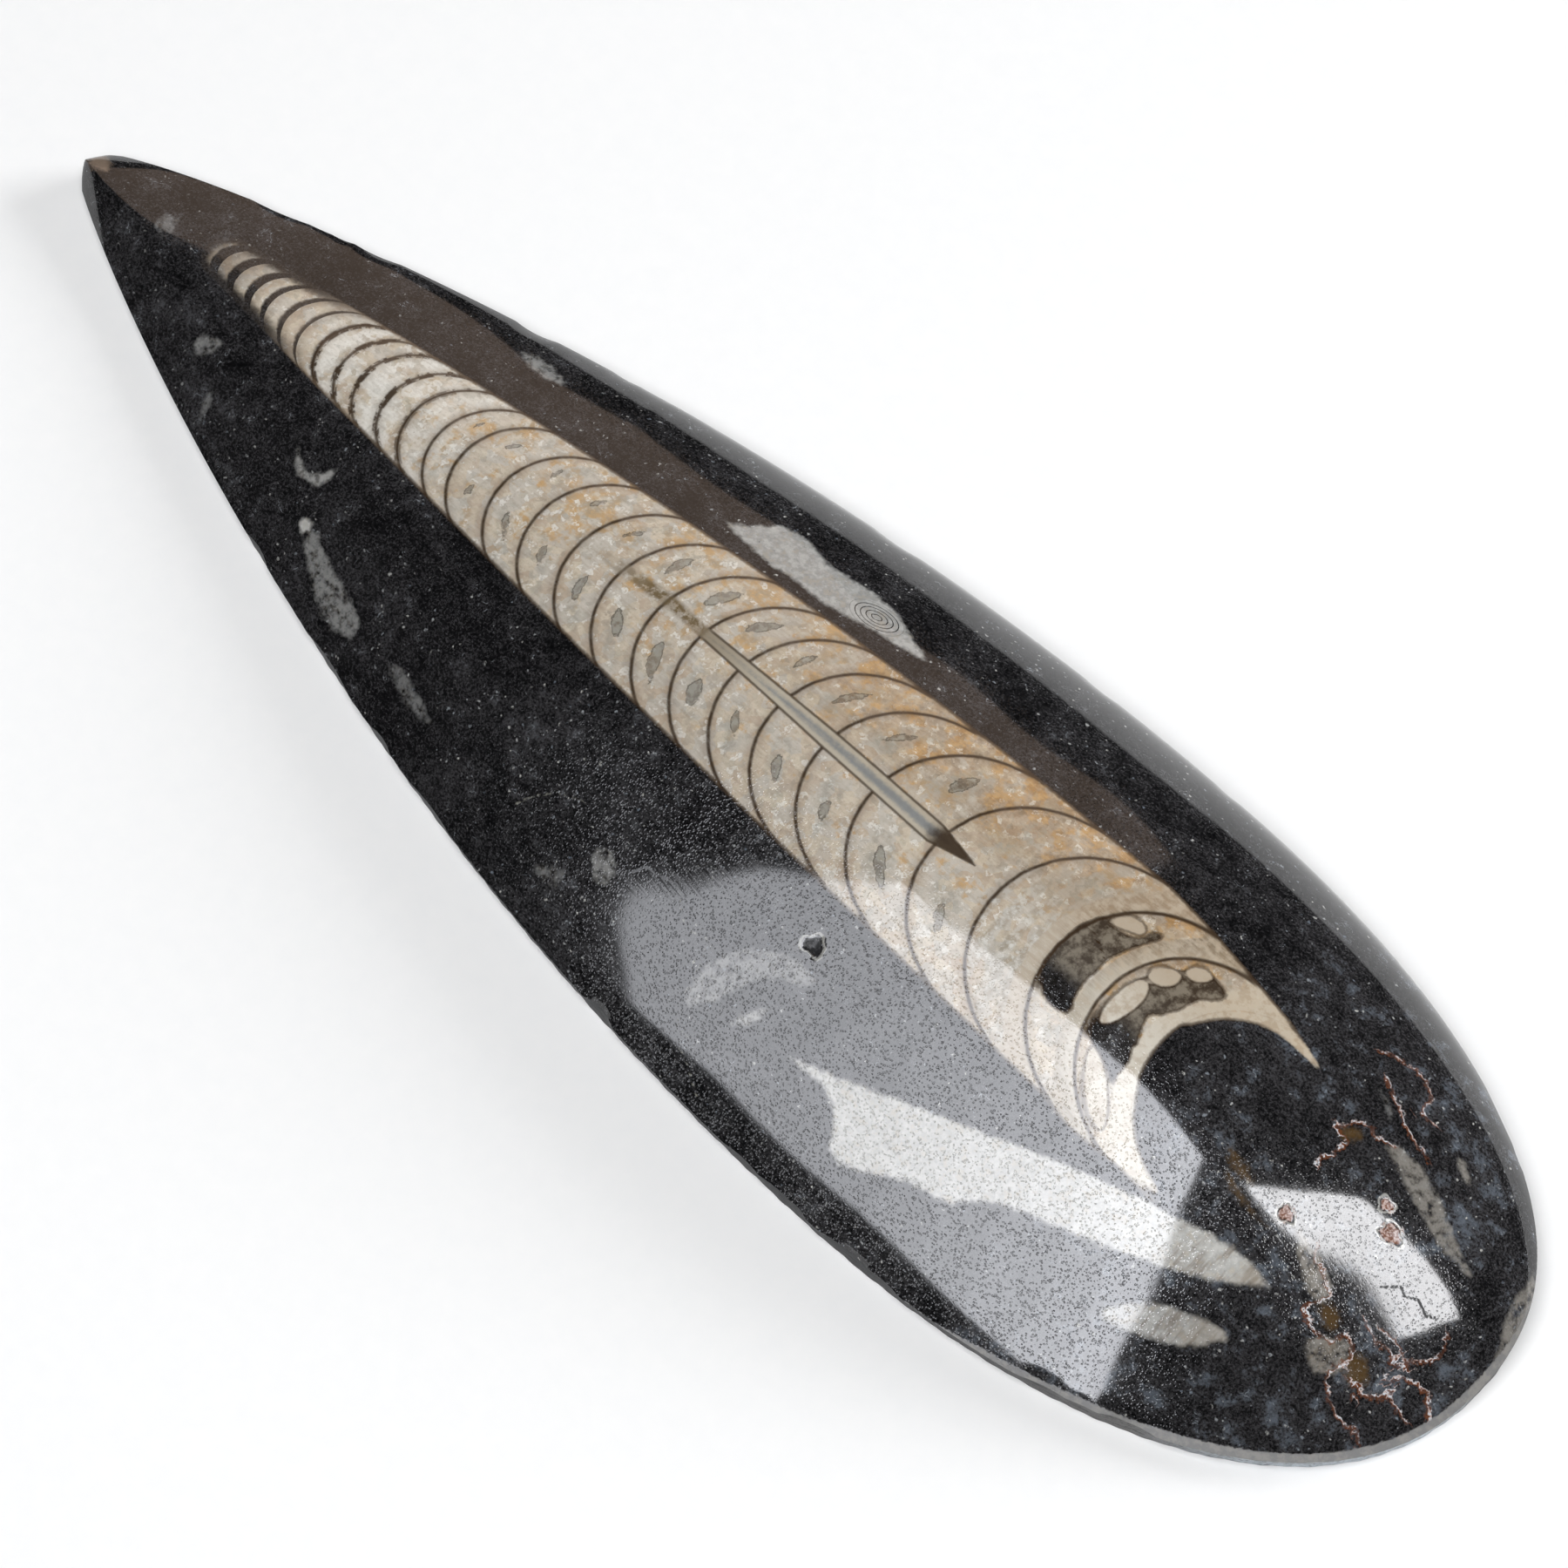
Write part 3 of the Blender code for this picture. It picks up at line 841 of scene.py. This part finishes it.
# Stone, its crystals and the fragments in it.
SOOT = shade(9, 9, 10)
GREY_STONE = shade(66, 65, 67)
SMOKE = shade(84, 86, 90)
BLUE_GREY = shade(108, 118, 130)
ICE = shade(196, 204, 212)
PALE_GREY = shade(196, 195, 190)
WEDGE_GREY = shade(176, 176, 173)
WEDGE_WHITE = shade(204, 203, 199)
RUST = shade(104, 60, 36)
CRUST_PINK = shade(186, 164, 156)
GOLDEN = shade(86, 66, 38)
TIP_TAN = shade(128, 112, 98)
RIM_GREY = shade(124, 122, 118)
# Shell.
CREAM = shade(200, 189, 171)
PINK_TAN = shade(181, 165, 147)
WHITE_CALCITE = shade(222, 219, 212)
SHELL_GREY = shade(188, 182, 173)
OCHRE = shade(190, 154, 104)
WARM_BROWN = shade(108, 92, 74)
SEPTUM_BROWN = shade(58, 45, 33)
FIRST_BROWN = shade(54, 46, 40)
FIBRE_TAN = shade(146, 136, 121)
CORE_GREY = shade(140, 139, 130)
CORE_DARK = shade(82, 76, 68)
FILLING_DARK = shade(74, 67, 60)
FILLING_PALE = shade(124, 117, 106)
PEARL_PALE = shade(202, 196, 184)
PEARL_TAN = shade(176, 164, 148)
TUBE_PALE = shade(178, 170, 155)
TUBE_BLUE = shade(132, 134, 134)
OLIVE = shade(104, 88, 62)
# Painted shade laid over the shell's right half, mottled between these two.
SHADE_TINGE = shade(212, 200, 186)
SHADE_BLANK = shade(246, 242, 236)
# Ground edge, sawn base and floor.
EDGE_BLACK = shade(22, 22, 23)
EDGE_GREY = shade(52, 52, 54)
# Grey of the painted light on the ground edge.
EDGE_LIT_GREY = shade(88, 88, 90)
EDGE_FLECK = shade(120, 117, 112)
BASE_DARK = shade(48, 47, 47)
BASE_GREY = shade(92, 90, 88)
BASE_PALE = shade(104, 100, 95)
FLOOR_GREY = shade(240, 241, 242)
FLOOR_WHITE = shade(245, 245, 245)


class Face(Finish):
    """The polished face: what lies in it, the noises that its colours share, and its wear."""

    def __init__(self):
        super().__init__(bpy.data.materials.new("polished_limestone"), IOR=1.62)
        self.count, self.length, self.body = self.field("shell")
        self.tube, self.core, self.pearl = self.field("inner")
        self.filling, self.partition, self.growth = self.field("filling")
        self.fragment, self.tone, self.crust = self.field("fragment")
        self.dark_crack, self.pale_crack, self.across = self.field("cracks")
        self.x, self.y, self.stain = self.field("place")
        self.vug, self.rim, self.to_crust = self.field("wear")

        self.ragged = self.noise(2.4, 3.0, 0.65) - 0.5
        self.ripple = self.noise(0.8) - 0.5
        self.gloom = self.noise(1.1, 3.0, 0.65)
        self.grain = self.noise(4.2, 2.0, 0.6)
        self.wavy = self.warped(0.6, 1.7)
        self.fibre = self.noise(1.0, 3.0, 0.6, at=self.joined(self.count * 2.2, self.across * 2.6))
        self.murk = self.step(self.gloom, 0.4, 0.6)
        self.mottle = self.step(self.gloom, 0.35, 0.65)

        self.in_chamber = (self.count + self.ripple * 0.05).fraction()
        self.off_septum = abs((self.count + 0.5 + self.ripple * 0.03).fraction() - 0.5) * self.length

        wander = self.crust + 1.3 * self.ripple + 1.1 * self.ragged
        near_crust = self.step(self.to_crust, 0.75, 0.4)
        broken = self.step(self.gloom, 0.4, 0.56)
        self.rusty = self.step(abs(wander + 0.1), 0.26, 0.05) * near_crust * (0.3 + 0.5 * broken)
        self.crusted = self.step(abs(wander), 0.11, 0.03) * near_crust * broken
        self.hollow = self.step(self.vug + 0.2 * self.ragged, -0.05, 0.08)
        self.cracked = self.step(self.dark_crack + 0.2 * self.ragged, 0.16, 0.05)
        self.dull = self.step(self.rim + 0.35 * self.ragged, -0.08, 0.08)


def limestone(f):
    """Colour of the black stone, thick in places with grey crystals, pale flecks and fine curls."""
    cloud = f.noise(0.16, 3.0, 0.6) - 0.5
    smoke = f.noise(0.62, 3.0, 0.65, at=f.moved(31.0, 7.0, 0.0))
    grain = f.noise(4.2, 4.0, 0.8)
    butt = f.step(f.x, 126.0, 138.0)
    thick = grain + 0.3 * cloud + 0.3 * (smoke - 0.5) + 0.04 * butt
    haze = smoke + 0.45 * (grain - 0.5) + 0.5 * cloud + 0.08 * butt
    lot, size, hue, off = f.cells(2.3, f.wavy)
    fleck = f.step(lot + 1.2 * cloud + 0.6 * (smoke - 0.5), 0.8, 0.88) * f.step(off - 0.2 * size, 0.2, 0.04)
    fleck = fleck * f.step(grain, 0.38, 0.54) * (0.35 + 0.45 * f.step(f.x, 15.0, 75.0))
    curl = f.step(abs(f.ripple), 0.008, 0.002) * f.step(smoke + 0.4 * f.ragged, 0.6, 0.68)
    spark = f.step(grain + 0.5 * f.ragged, 0.76, 0.86)
    return f.painted(
        SOOT,
        (f.step(thick, 0.37, 0.76), GREY_STONE),
        (f.step(haze, 0.6, 0.86) * 0.45, f.mix(butt, SMOKE, BLUE_GREY)),
        (fleck, f.mix(hue, BLUE_GREY, PALE_GREY)),
        ((curl | spark) * 0.4, ICE),
    )


def calcite(f):
    """Colour of the shell's blocky, fibrous calcite: cream and grey, ochre patches, white crystals."""
    block, block_hue, *_ = f.cells(0.8, f.wavy)
    small, small_hue, small_lot, _ = f.cells(1.9, f.wavy)
    patch = f.noise(0.24, 2.0, 0.55)
    stain = f.noise(0.46, 3.0, 0.6, at=f.moved(13.0, 5.0, 2.0))
    early = f.step(f.count, 14.5, 9.5) * f.step(f.count, 5.0, 7.5)
    ochre = stain + 0.012 * f.across + 0.08 * (small_hue - 0.5) + 0.5 * (f.gloom - 0.5)
    return f.painted(
        CREAM,
        (f.step(0.4 * block + 0.3 * small + 0.3 * f.gloom, 0.2, 0.8), PINK_TAN),
        (f.step(block_hue + 1.1 * (patch - 0.5), 0.4, 0.8) * 0.8, SHELL_GREY),
        (early * f.step(patch + 0.2 * (small - 0.5), 0.36, 0.5) * 0.85, WHITE_CALCITE),
        (f.step(ochre, 0.53, 0.72) * f.step(f.count, 9.0, 13.0) * 0.85, OCHRE),
        (f.step(small_hue, 0.75, 0.97) * 0.3, CORE_GREY),
        (f.step(small_lot + 0.6 * (f.grain - 0.5), 0.88, 0.98) * 0.7, WHITE_CALCITE),
        (f.step(f.grain, 0.5, 0.25) * 0.3, FIBRE_TAN),
        # Fibres stand square to the septa.
        (f.step(f.fibre, 0.56, 0.34) * 0.24, FIBRE_TAN),
        (f.step(f.fibre, 0.58, 0.74) * 0.25, WHITE_CALCITE),
    )


def first_bands(f):
    """How far the broad dark bands and sides hide the calcite of the first chambers."""
    band = f.step(f.in_chamber - (0.44 + 0.06 * f.count) + 0.16 * f.ragged, -0.08, 0.1)
    sides = f.step(f.body + 0.7 * f.ragged, 1.5, 0.3)
    return band * f.step(f.count, 9.0, 7.0) | sides * f.step(f.count, 8.0, 3.0)


def chamber_stains(f, shell, bands):
    """A faint stain along the septa, a fuzzy line between them, and the bands of the first chambers."""
    side = abs(f.across)
    fuzz = f.step(abs(f.in_chamber - 0.5), 0.3, 0.08) * f.step(side, 1.4, 3.0) * f.step(side, 8.2, 5.6)
    return f.painted(
        shell,
        (f.step(f.off_septum, 1.0, 0.1) * 0.3, WARM_BROWN),
        (fuzz * f.step(f.count, 12.0, 15.0) * f.murk * 0.5, CORE_GREY),
        (bands * 0.92 | f.step(f.count, 4.0, 0.5) * 0.5, FIRST_BROWN),
    )


def last_chambers(f, shell):
    """A fibrous band before each of the last septa, and arcs of paler crystal before the first of them."""
    before = (1 - f.in_chamber) * f.length
    late = f.step(f.count, 24.96, 25.04)
    last = f.step(f.count, 27.95, 28.05)
    arcs = f.step(abs((before * 0.62).fraction() - 0.5), 0.12, 0.3) * f.step(f.count, 26.0, 25.9)
    band = f.painted(
        FIBRE_TAN,
        (f.step(f.count, 26.5, 27.2), PEARL_PALE),
        (f.step(f.count, 26.0, 25.9), PEARL_TAN),
        (f.step(f.fibre, 0.4, 0.62) * 0.4, PEARL_PALE),
        (f.step(f.gloom, 0.46, 0.64) * 0.6, PEARL_TAN),
    )
    return f.painted(
        shell,
        (arcs * late * 0.5, f.mix(f.murk, PALE_GREY, FIBRE_TAN)),
        ((f.step(before + 0.3 * f.ragged, 1.65, 1.4) * late | last) * 0.9, band),
    )


def chamber_fillings(f, shell, stone):
    """Dark fillings of the last chambers, the partition in one of them and the pale crystals on them."""
    dark = f.mix(f.mottle, FILLING_DARK, FILLING_PALE)
    dark = f.mix(f.step(f.across, -0.6, -2.6) * 0.95, dark, stone)
    against = 0.35 * f.step(f.off_septum, 0.8, 0.2)
    filling = f.filling + 0.3 * f.ragged + 0.2 * f.ripple + against
    filled = f.step(filling, -0.06, 0.1)
    pearl = f.pearl + 0.16 * f.ragged + 0.6 * against
    return f.painted(
        shell,
        (filled, dark),
        (f.step(abs(filling), 0.24, 0.04) * 0.65, SEPTUM_BROWN),
        (f.step(f.partition, 0.2, 0.05) * filled, SEPTUM_BROWN),
        (f.step(pearl, -0.04, 0.1), f.mix(f.mottle, PEARL_PALE, PEARL_TAN)),
        (f.step(abs(pearl), 0.2, 0.03) * 0.6, SEPTUM_BROWN),
    )


def cores_and_septa(f, shell, clear):
    """Grey lens cores, and the septa's fine brown lines, heavier and broken in the first chambers."""
    lens = f.core + 0.5 * f.ragged + 0.35 * f.ripple
    outlined = f.step(abs(lens - 0.03), 0.1, 0.02) * f.step(f.gloom, 0.3, 0.5)
    line = f.step(f.off_septum, 0.27, 0.04) * f.step(f.count, 27.7, 27.5)
    line = line * (1 - clear * f.step(f.tube, -0.05, 0.05))
    heavy = f.step(f.off_septum, 0.42, 0.2) * f.step(f.count, 13.0, 10.0) * f.step(f.gloom, 0.42, 0.56)
    strength = f.step(f.count, 6.0, 6.6) * (0.62 + 0.6 * f.gloom & 0.96)
    return f.painted(
        shell,
        (f.step(lens, 0.0, 0.16) * 0.65, f.mix(f.murk, CORE_DARK, CORE_GREY)),
        (outlined * 0.75, CORE_DARK),
        ((line | heavy) * strength, SEPTUM_BROWN),
    )


def siphuncle_tube(f, shell, clear):
    """The tube along the middle: faint, then clear with brown walls, and a tongue at its end."""
    seen = f.step(f.x, TUBE_FROM, TUBE_FROM + 12.0) * (0.5 + 0.5 * f.step(f.gloom, 0.4, 0.55))
    inside = f.step(f.tube + 0.1 * f.ragged, -0.12, 0.12) * clear
    faint = f.step(f.tube + 0.3 * f.ragged, -0.3, 0.3) * (1 - clear) * seen
    tongue = f.step(f.tube + 0.2 * f.ragged, -0.2, 0.15)
    tongue = tongue * f.step(f.x + 0.8 * f.ragged + 0.5 * f.tube, 103.0, 105.0)
    return f.painted(
        shell,
        (inside, f.mix(f.step(f.tube + 0.4 * f.ragged, 0.3, 0.8), TUBE_PALE, TUBE_BLUE)),
        (faint * 0.95, f.mix(f.step(f.x, 64.0, 71.0), FIBRE_TAN, OLIVE)),
        (f.step(f.x, 86.0, 76.0) * inside * 0.6, OLIVE),
        (f.step(abs(f.tube + 0.06 * f.ragged), 0.2, 0.03) * clear * 0.8, SEPTUM_BROWN),
        (tongue * 0.95, SEPTUM_BROWN),
    )


def whole_shell(f, stone, bands):
    clear = f.step(f.x, TUBE_CLEAR_FROM - 0.5, TUBE_CLEAR_FROM + 1.0)
    shell = chamber_stains(f, calcite(f), bands)
    shell = chamber_fillings(f, last_chambers(f, shell), stone)
    shell = siphuncle_tube(f, cores_and_septa(f, shell, clear), clear)
    # Painted shade: the right half is darker than the left, where its flank gets less light.
    painted_shade = f.step(f.across, -2.0, 5.0) * f.step(f.x, 72.0, 96.0)
    return f.mix(painted_shade, shell, f.mix(f.mottle, SHADE_TINGE, SHADE_BLANK), "MULTIPLY")


def fragment_colour(f):
    """Colour of the fragments of other shells, whiter and plainer the whiter their tone."""
    lines = f.noise(1.0, 2.0, 0.6, at=f.joined(f.x * 1.6, f.y * 0.3))
    tail = f.step(f.x, 139.0, 143.0) * f.step(f.y, 0.0, -2.0)
    rings = f.step(abs((f.growth * 5.0).fraction() - 0.5), 0.36, 0.46)
    return f.painted(
        SMOKE,
        (f.tone, WEDGE_GREY),
        (f.step(f.gloom + 0.5 * f.ragged, 0.35, 0.7) * 0.75 * f.tone, WEDGE_WHITE),
        (f.step(f.gloom - 0.4 * f.ragged, 0.5, 0.32) * 0.4, f.mix(f.tone, FIBRE_TAN, CREAM)),
        (f.step(f.grain + 0.7 * f.ragged + 0.25 * f.tone, 0.5, 0.34) * 0.6, SMOKE),
        (tail * f.step(lines, 0.45, 0.7) * 0.6, WARM_BROWN),
        (f.step(f.x, 146.0, 147.0) * 0.45, FIBRE_TAN),
        (rings * f.step(f.growth, 1.05, 0.9), SOOT),
    )


def fragment_cover(f):
    """How far the fragments show, fainter the more broken up they are."""
    wild = 1.35 - 0.5 * f.tone
    bit = f.step(f.fragment + wild * (0.45 * f.ragged + 0.75 * f.ripple), -0.15, 0.4)
    whole = f.step(f.gloom, 0.3, 0.55) | f.step(f.tone, 0.5, 0.75)
    return bit * f.step(f.body, 0.0, -0.2) * whole * (0.3 + 0.7 * f.tone)


def weathered(f, colour):
    """The colour with its brown patches, crusts, vugs, cracks and ground rim."""
    stained = f.step(f.stain + 1.1 * f.ragged + 0.6 * f.ripple, -0.3, 0.6)
    in_vug = f.mix(f.step(f.grain, 0.45, 0.6), RUST, CRUST_PINK)
    scratched = f.step(f.pale_crack + 0.3 * f.ragged, 0.12, 0.02) * f.step(f.gloom, 0.4, 0.55)
    return f.painted(
        colour,
        (stained * 0.75, f.mix(f.step(f.x, 12.0, 10.0), GOLDEN, TIP_TAN)),
        (f.rusty, RUST),
        (f.crusted * 0.85, f.mix(f.step(f.grain, 0.4, 0.6), CRUST_PINK, ICE)),
        (f.hollow * 0.9, f.mix(f.step(f.x, 120.0, 121.0), SOOT, in_vug)),
        (f.step(abs(f.vug + 0.2 + 0.2 * f.ragged), 0.14, 0.04) * 0.5, PALE_GREY),
        (scratched * 0.7, CORE_GREY),
        (f.cracked * 0.85, SOOT),
        (f.dull, f.mix(f.step(f.gloom + 0.4 * f.ragged, 0.35, 0.6) * 0.5, RIM_GREY, SMOKE)),
    )


def polish(f):
    """A gloss with fine pits and wheel marks along the plaque; crusts, vugs and the rim are dull."""
    chance, wide, _, off = f.cells(5.0, f.moved(3.0, 17.0, 0.0))
    worn = f.step(f.x, 86.0, 94.0) * f.step(f.x, 144.0, 141.0) * f.step(f.across, -4.0, -9.0)
    pits = f.step(off - 0.35 * wide, 0.25, 0.0) * f.step(chance, 0.25, 0.5) * (0.12 + 0.88 * worn)
    marks = f.noise(1.0, 2.0, 0.6, at=f.stretched(f.turned(8.0), 0.2, 5.0, 1.0))
    rough = pits * 0.1 | (f.crusted | f.hollow | f.cracked) * 0.4 | f.dull * 0.6
    f.set("Roughness", 0.055 + rough + 0.03 * f.step(marks, 0.45, 0.7))
    brushed = f.step(abs(f.y + 13.0 - 0.32 * (f.x - 98.0)), 4.0, 0.5) * f.step(abs(f.x - 98.0), 14.0, 8.0)
    f.bump(pits * -3.0 + (0.06 + 1.6 * brushed) * marks - 0.8 * f.crusted, 0.00001)


def polished_face():
    f = Face()
    stone = limestone(f)
    bands = first_bands(f)
    # The shell has a brown skin where it meets the stone; in the first chambers the bands are stone.
    edge = f.body + 0.22 * f.ragged
    shown = f.step(edge, -0.16, 0.12) * (1 - 0.8 * bands * f.step(f.count, 7.0, 3.5))
    skinned = f.step(abs(edge), 0.26, 0.04) * f.step(f.count, 3.5, 9.0) * f.step(f.count, 28.6, 28.0)
    colour = f.painted(
        stone,
        (shown, whole_shell(f, stone, bands)),
        (skinned * 0.7, f.mix(f.step(f.count, 6.0, 12.0), WARM_BROWN, SEPTUM_BROWN)),
        (fragment_cover(f), fragment_colour(f)),
    )
    f.set("Base Color", weathered(f, colour))
    polish(f)
    return f.owner


def ground_edge():
    f = Finish(bpy.data.materials.new("ground_edge"), IOR=1.5)
    x, y, _ = f.parts(f.place)
    streak = f.noise(1.0, 3.0, 0.65, at=f.stretched(f.place, 0.5, 0.5, 6.0))
    grain = f.noise(2.4, 4.0, 0.7)
    # Painted light: the edge is paler where light falls on it, from grey to a pale blue-white, in streaks.
    lit = f.step(x, 44.0, 68.0) * f.step(y, 12.0, 0.0)
    painted_light = f.mix(f.step(x, 64.0, 76.0) * f.step(y, 2.0, -4.0), f.mix(grain, RIM_GREY, EDGE_LIT_GREY), ICE)
    colour = f.painted(
        EDGE_BLACK,
        (f.step(streak + 0.5 * (grain - 0.5), 0.35, 0.75), EDGE_GREY),
        (f.step(grain, 0.64, 0.78) * 0.4, EDGE_FLECK),
        (lit * f.step(streak + grain, 0.7, 1.1), painted_light),
    )
    f.set("Base Color", colour)
    f.set("Roughness", 0.42 + 0.3 * grain)
    f.bump(streak + 0.6 * grain, 0.00008)
    return f.owner


def sawn_base():
    f = Finish(bpy.data.materials.new("sawn_base"), IOR=1.5)
    marks = f.noise(1.0, 2.0, 0.6, at=f.stretched(f.turned(8.0), 0.05, 2.6, 1.0))
    grain = f.noise(1.8, 4.0, 0.7)
    colour = f.painted(
        BASE_DARK,
        (f.step(grain + 0.4 * (marks - 0.5), 0.3, 0.75), BASE_GREY),
        (f.step(f.noise(0.09), 0.5, 0.7) * 0.4, BASE_PALE),
    )
    f.set("Base Color", colour)
    f.set("Roughness", 0.55 + 0.2 * grain)
    f.bump(marks + 0.5 * grain, 0.0001)
    return f.owner


# ======== The piece ========


def add_object(name, data):
    piece = bpy.data.objects.new(name, data)
    bpy.context.scene.collection.objects.link(piece)
    return piece


def fit_to_box(data):
    """Moves the mesh from the plaque's millimetres into the frame, just inside the solid's box."""
    points = (read(data.vertices, "co", 3).astype(float) + (TIP_X, KEEL_Y, 0.0)) * MM
    points = np.clip(points, np.array(low), np.array(high))
    data.vertices.foreach_set("co", points.astype(np.float32).ravel())
    data.update()


def add_plaque():
    data = plaque_mesh()
    add_fields(data)
    add_map(data)
    fit_to_box(data)
    for finish in (polished_face(), ground_edge(), sawn_base()):
        data.materials.append(finish)
    plaque = add_object("polished_plaque", data)
    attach(plaque, "root")
    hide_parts(NODE)


# ======== Studio ========


def looking_along(back):
    """Rotation of something whose own +Z points along back, its +X kept level."""
    back = back.normalized()
    right = Vector((-back.y, back.x, 0.0)).normalized()
    up = back.cross(right)
    return Matrix((right, up, back)).transposed().to_4x4()


def direction(azimuth, elevation):
    a, e = math.radians(azimuth), math.radians(elevation)
    return Vector((math.sin(a) * math.cos(e), -math.cos(a) * math.cos(e), math.sin(e)))


def add_camera():
    data = bpy.data.cameras.new("camera")
    data.lens, data.sensor_width = CAMERA_LENS, CAMERA_SENSOR
    data.clip_start, data.clip_end = CAMERA_SEES
    camera = add_object("camera", data)
    back = direction(CAMERA_AZIMUTH, CAMERA_ELEVATION)
    place = in_frame(*CAMERA_TARGET) + back * CAMERA_DISTANCE * MM
    camera.matrix_world = Matrix.Translation(place) @ looking_along(back)
    bpy.context.scene.camera = camera


# Each lamp hangs across a line of azimuth and elevation, at a distance, turned round that line and
# shifted along its own width and height. Its size is its width and height. It either lights the stone
# or shows as a reflection in it. Lengths are in mm and angles in degrees.
Lamp = namedtuple("Lamp", "name azimuth elevation distance turn shift size brightness colour lights")
WHITE, COOL, WARM = (1.0, 1.0, 1.0), (0.96, 0.98, 1.04), (1.0, 0.74, 0.58)
LAMPS = [
    Lamp("side_light", 150, 20, 900, 0, (0, 0), (500, 260), 17.0, WHITE, True),
    Lamp("overhead_light", 20, 72, 1100, 0, (0, 0), (900, 900), 4.9, WHITE, True),
    Lamp("strip_softbox", 106.4, 57.6, 900, -39.4, (-8, -27), (94, 380), 13.5, (1.0, 1.0, 1.02), False),
    Lamp("brown_wall", 217, 22.7, 900, -27.5, (0, 75), (700, 400), 0.72, WARM, False),
]
# The left softbox, in strips that grow brighter towards its right end.
SOFTBOX_STRIPS = 8
SOFTBOX_SIZE, SOFTBOX_SHIFT = (743, 1545), (50, 246)
for strip in range(SOFTBOX_STRIPS):
    part = (strip + 0.5) / SOFTBOX_STRIPS
    shift = (SOFTBOX_SHIFT[0] + SOFTBOX_SIZE[0] * (part - 0.5), SOFTBOX_SHIFT[1])
    size = (SOFTBOX_SIZE[0] / SOFTBOX_STRIPS, SOFTBOX_SIZE[1])
    brightness = 5.0 + 5.4 * part**1.5
    LAMPS.append(Lamp(f"left_softbox_{strip}", -11.8, 49.4, 900, 8.9, shift, size, brightness, COOL, False))


def add_lamps():
    for lamp in LAMPS:
        data = bpy.data.lights.new(lamp.name, "AREA")
        data.shape = "RECTANGLE"
        data.size, data.size_y = lamp.size[0] * MM, lamp.size[1] * MM
        data.energy = lamp.brightness * math.pi * data.size * data.size_y
        data.color = lamp.colour
        away = direction(lamp.azimuth, lamp.elevation)
        turned = looking_along(away) @ Matrix.Rotation(math.radians(lamp.turn), 4, "Z")
        middle = away * lamp.distance + turned.to_3x3() @ Vector((*lamp.shift, 0.0))
        light = add_object(lamp.name, data)
        light.matrix_world = Matrix.Translation(middle * MM) @ turned
        light.visible_camera = False
        light.visible_diffuse = lamp.lights
        light.visible_glossy = not lamp.lights


FLOOR_HALF = 1.6  # metres
FLOOR_DROP = 0.00002  # metres under the base


def add_floor():
    data = bpy.data.meshes.new("floor")
    corners = [(x * FLOOR_HALF, y * FLOOR_HALF, 0.0) for x, y in ((-1, -1), (1, -1), (1, 1), (-1, 1))]
    data.from_pydata(corners, [], [(0, 1, 2, 3)])
    f = Finish(bpy.data.materials.new("white_board"), Roughness=0.9)
    f.set("Base Color", f.mix(f.noise(0.5, 3.0, 0.6), FLOOR_GREY, FLOOR_WHITE))
    data.materials.append(f.owner)
    floor = add_object("floor", data)
    floor.location.z = -FLOOR_DROP


def add_surroundings():
    """A dim room, pale only where the camera looks past the floor."""
    room = Finish(bpy.data.worlds.new("room"), "Background")
    past_floor = room.node("ShaderNodeLightPath", output="Is Camera Ray")
    room.set("Color", room.mix(past_floor, (0.004, 0.004, 0.004, 1.0), (1.0, 1.0, 1.0, 1.0)))
    bpy.context.scene.world = room.owner
    bpy.context.scene.view_settings.view_transform = "Standard"


add_camera()
add_plaque()
add_floor()
add_lamps()
add_surroundings()

bpy.context.view_layer.update()
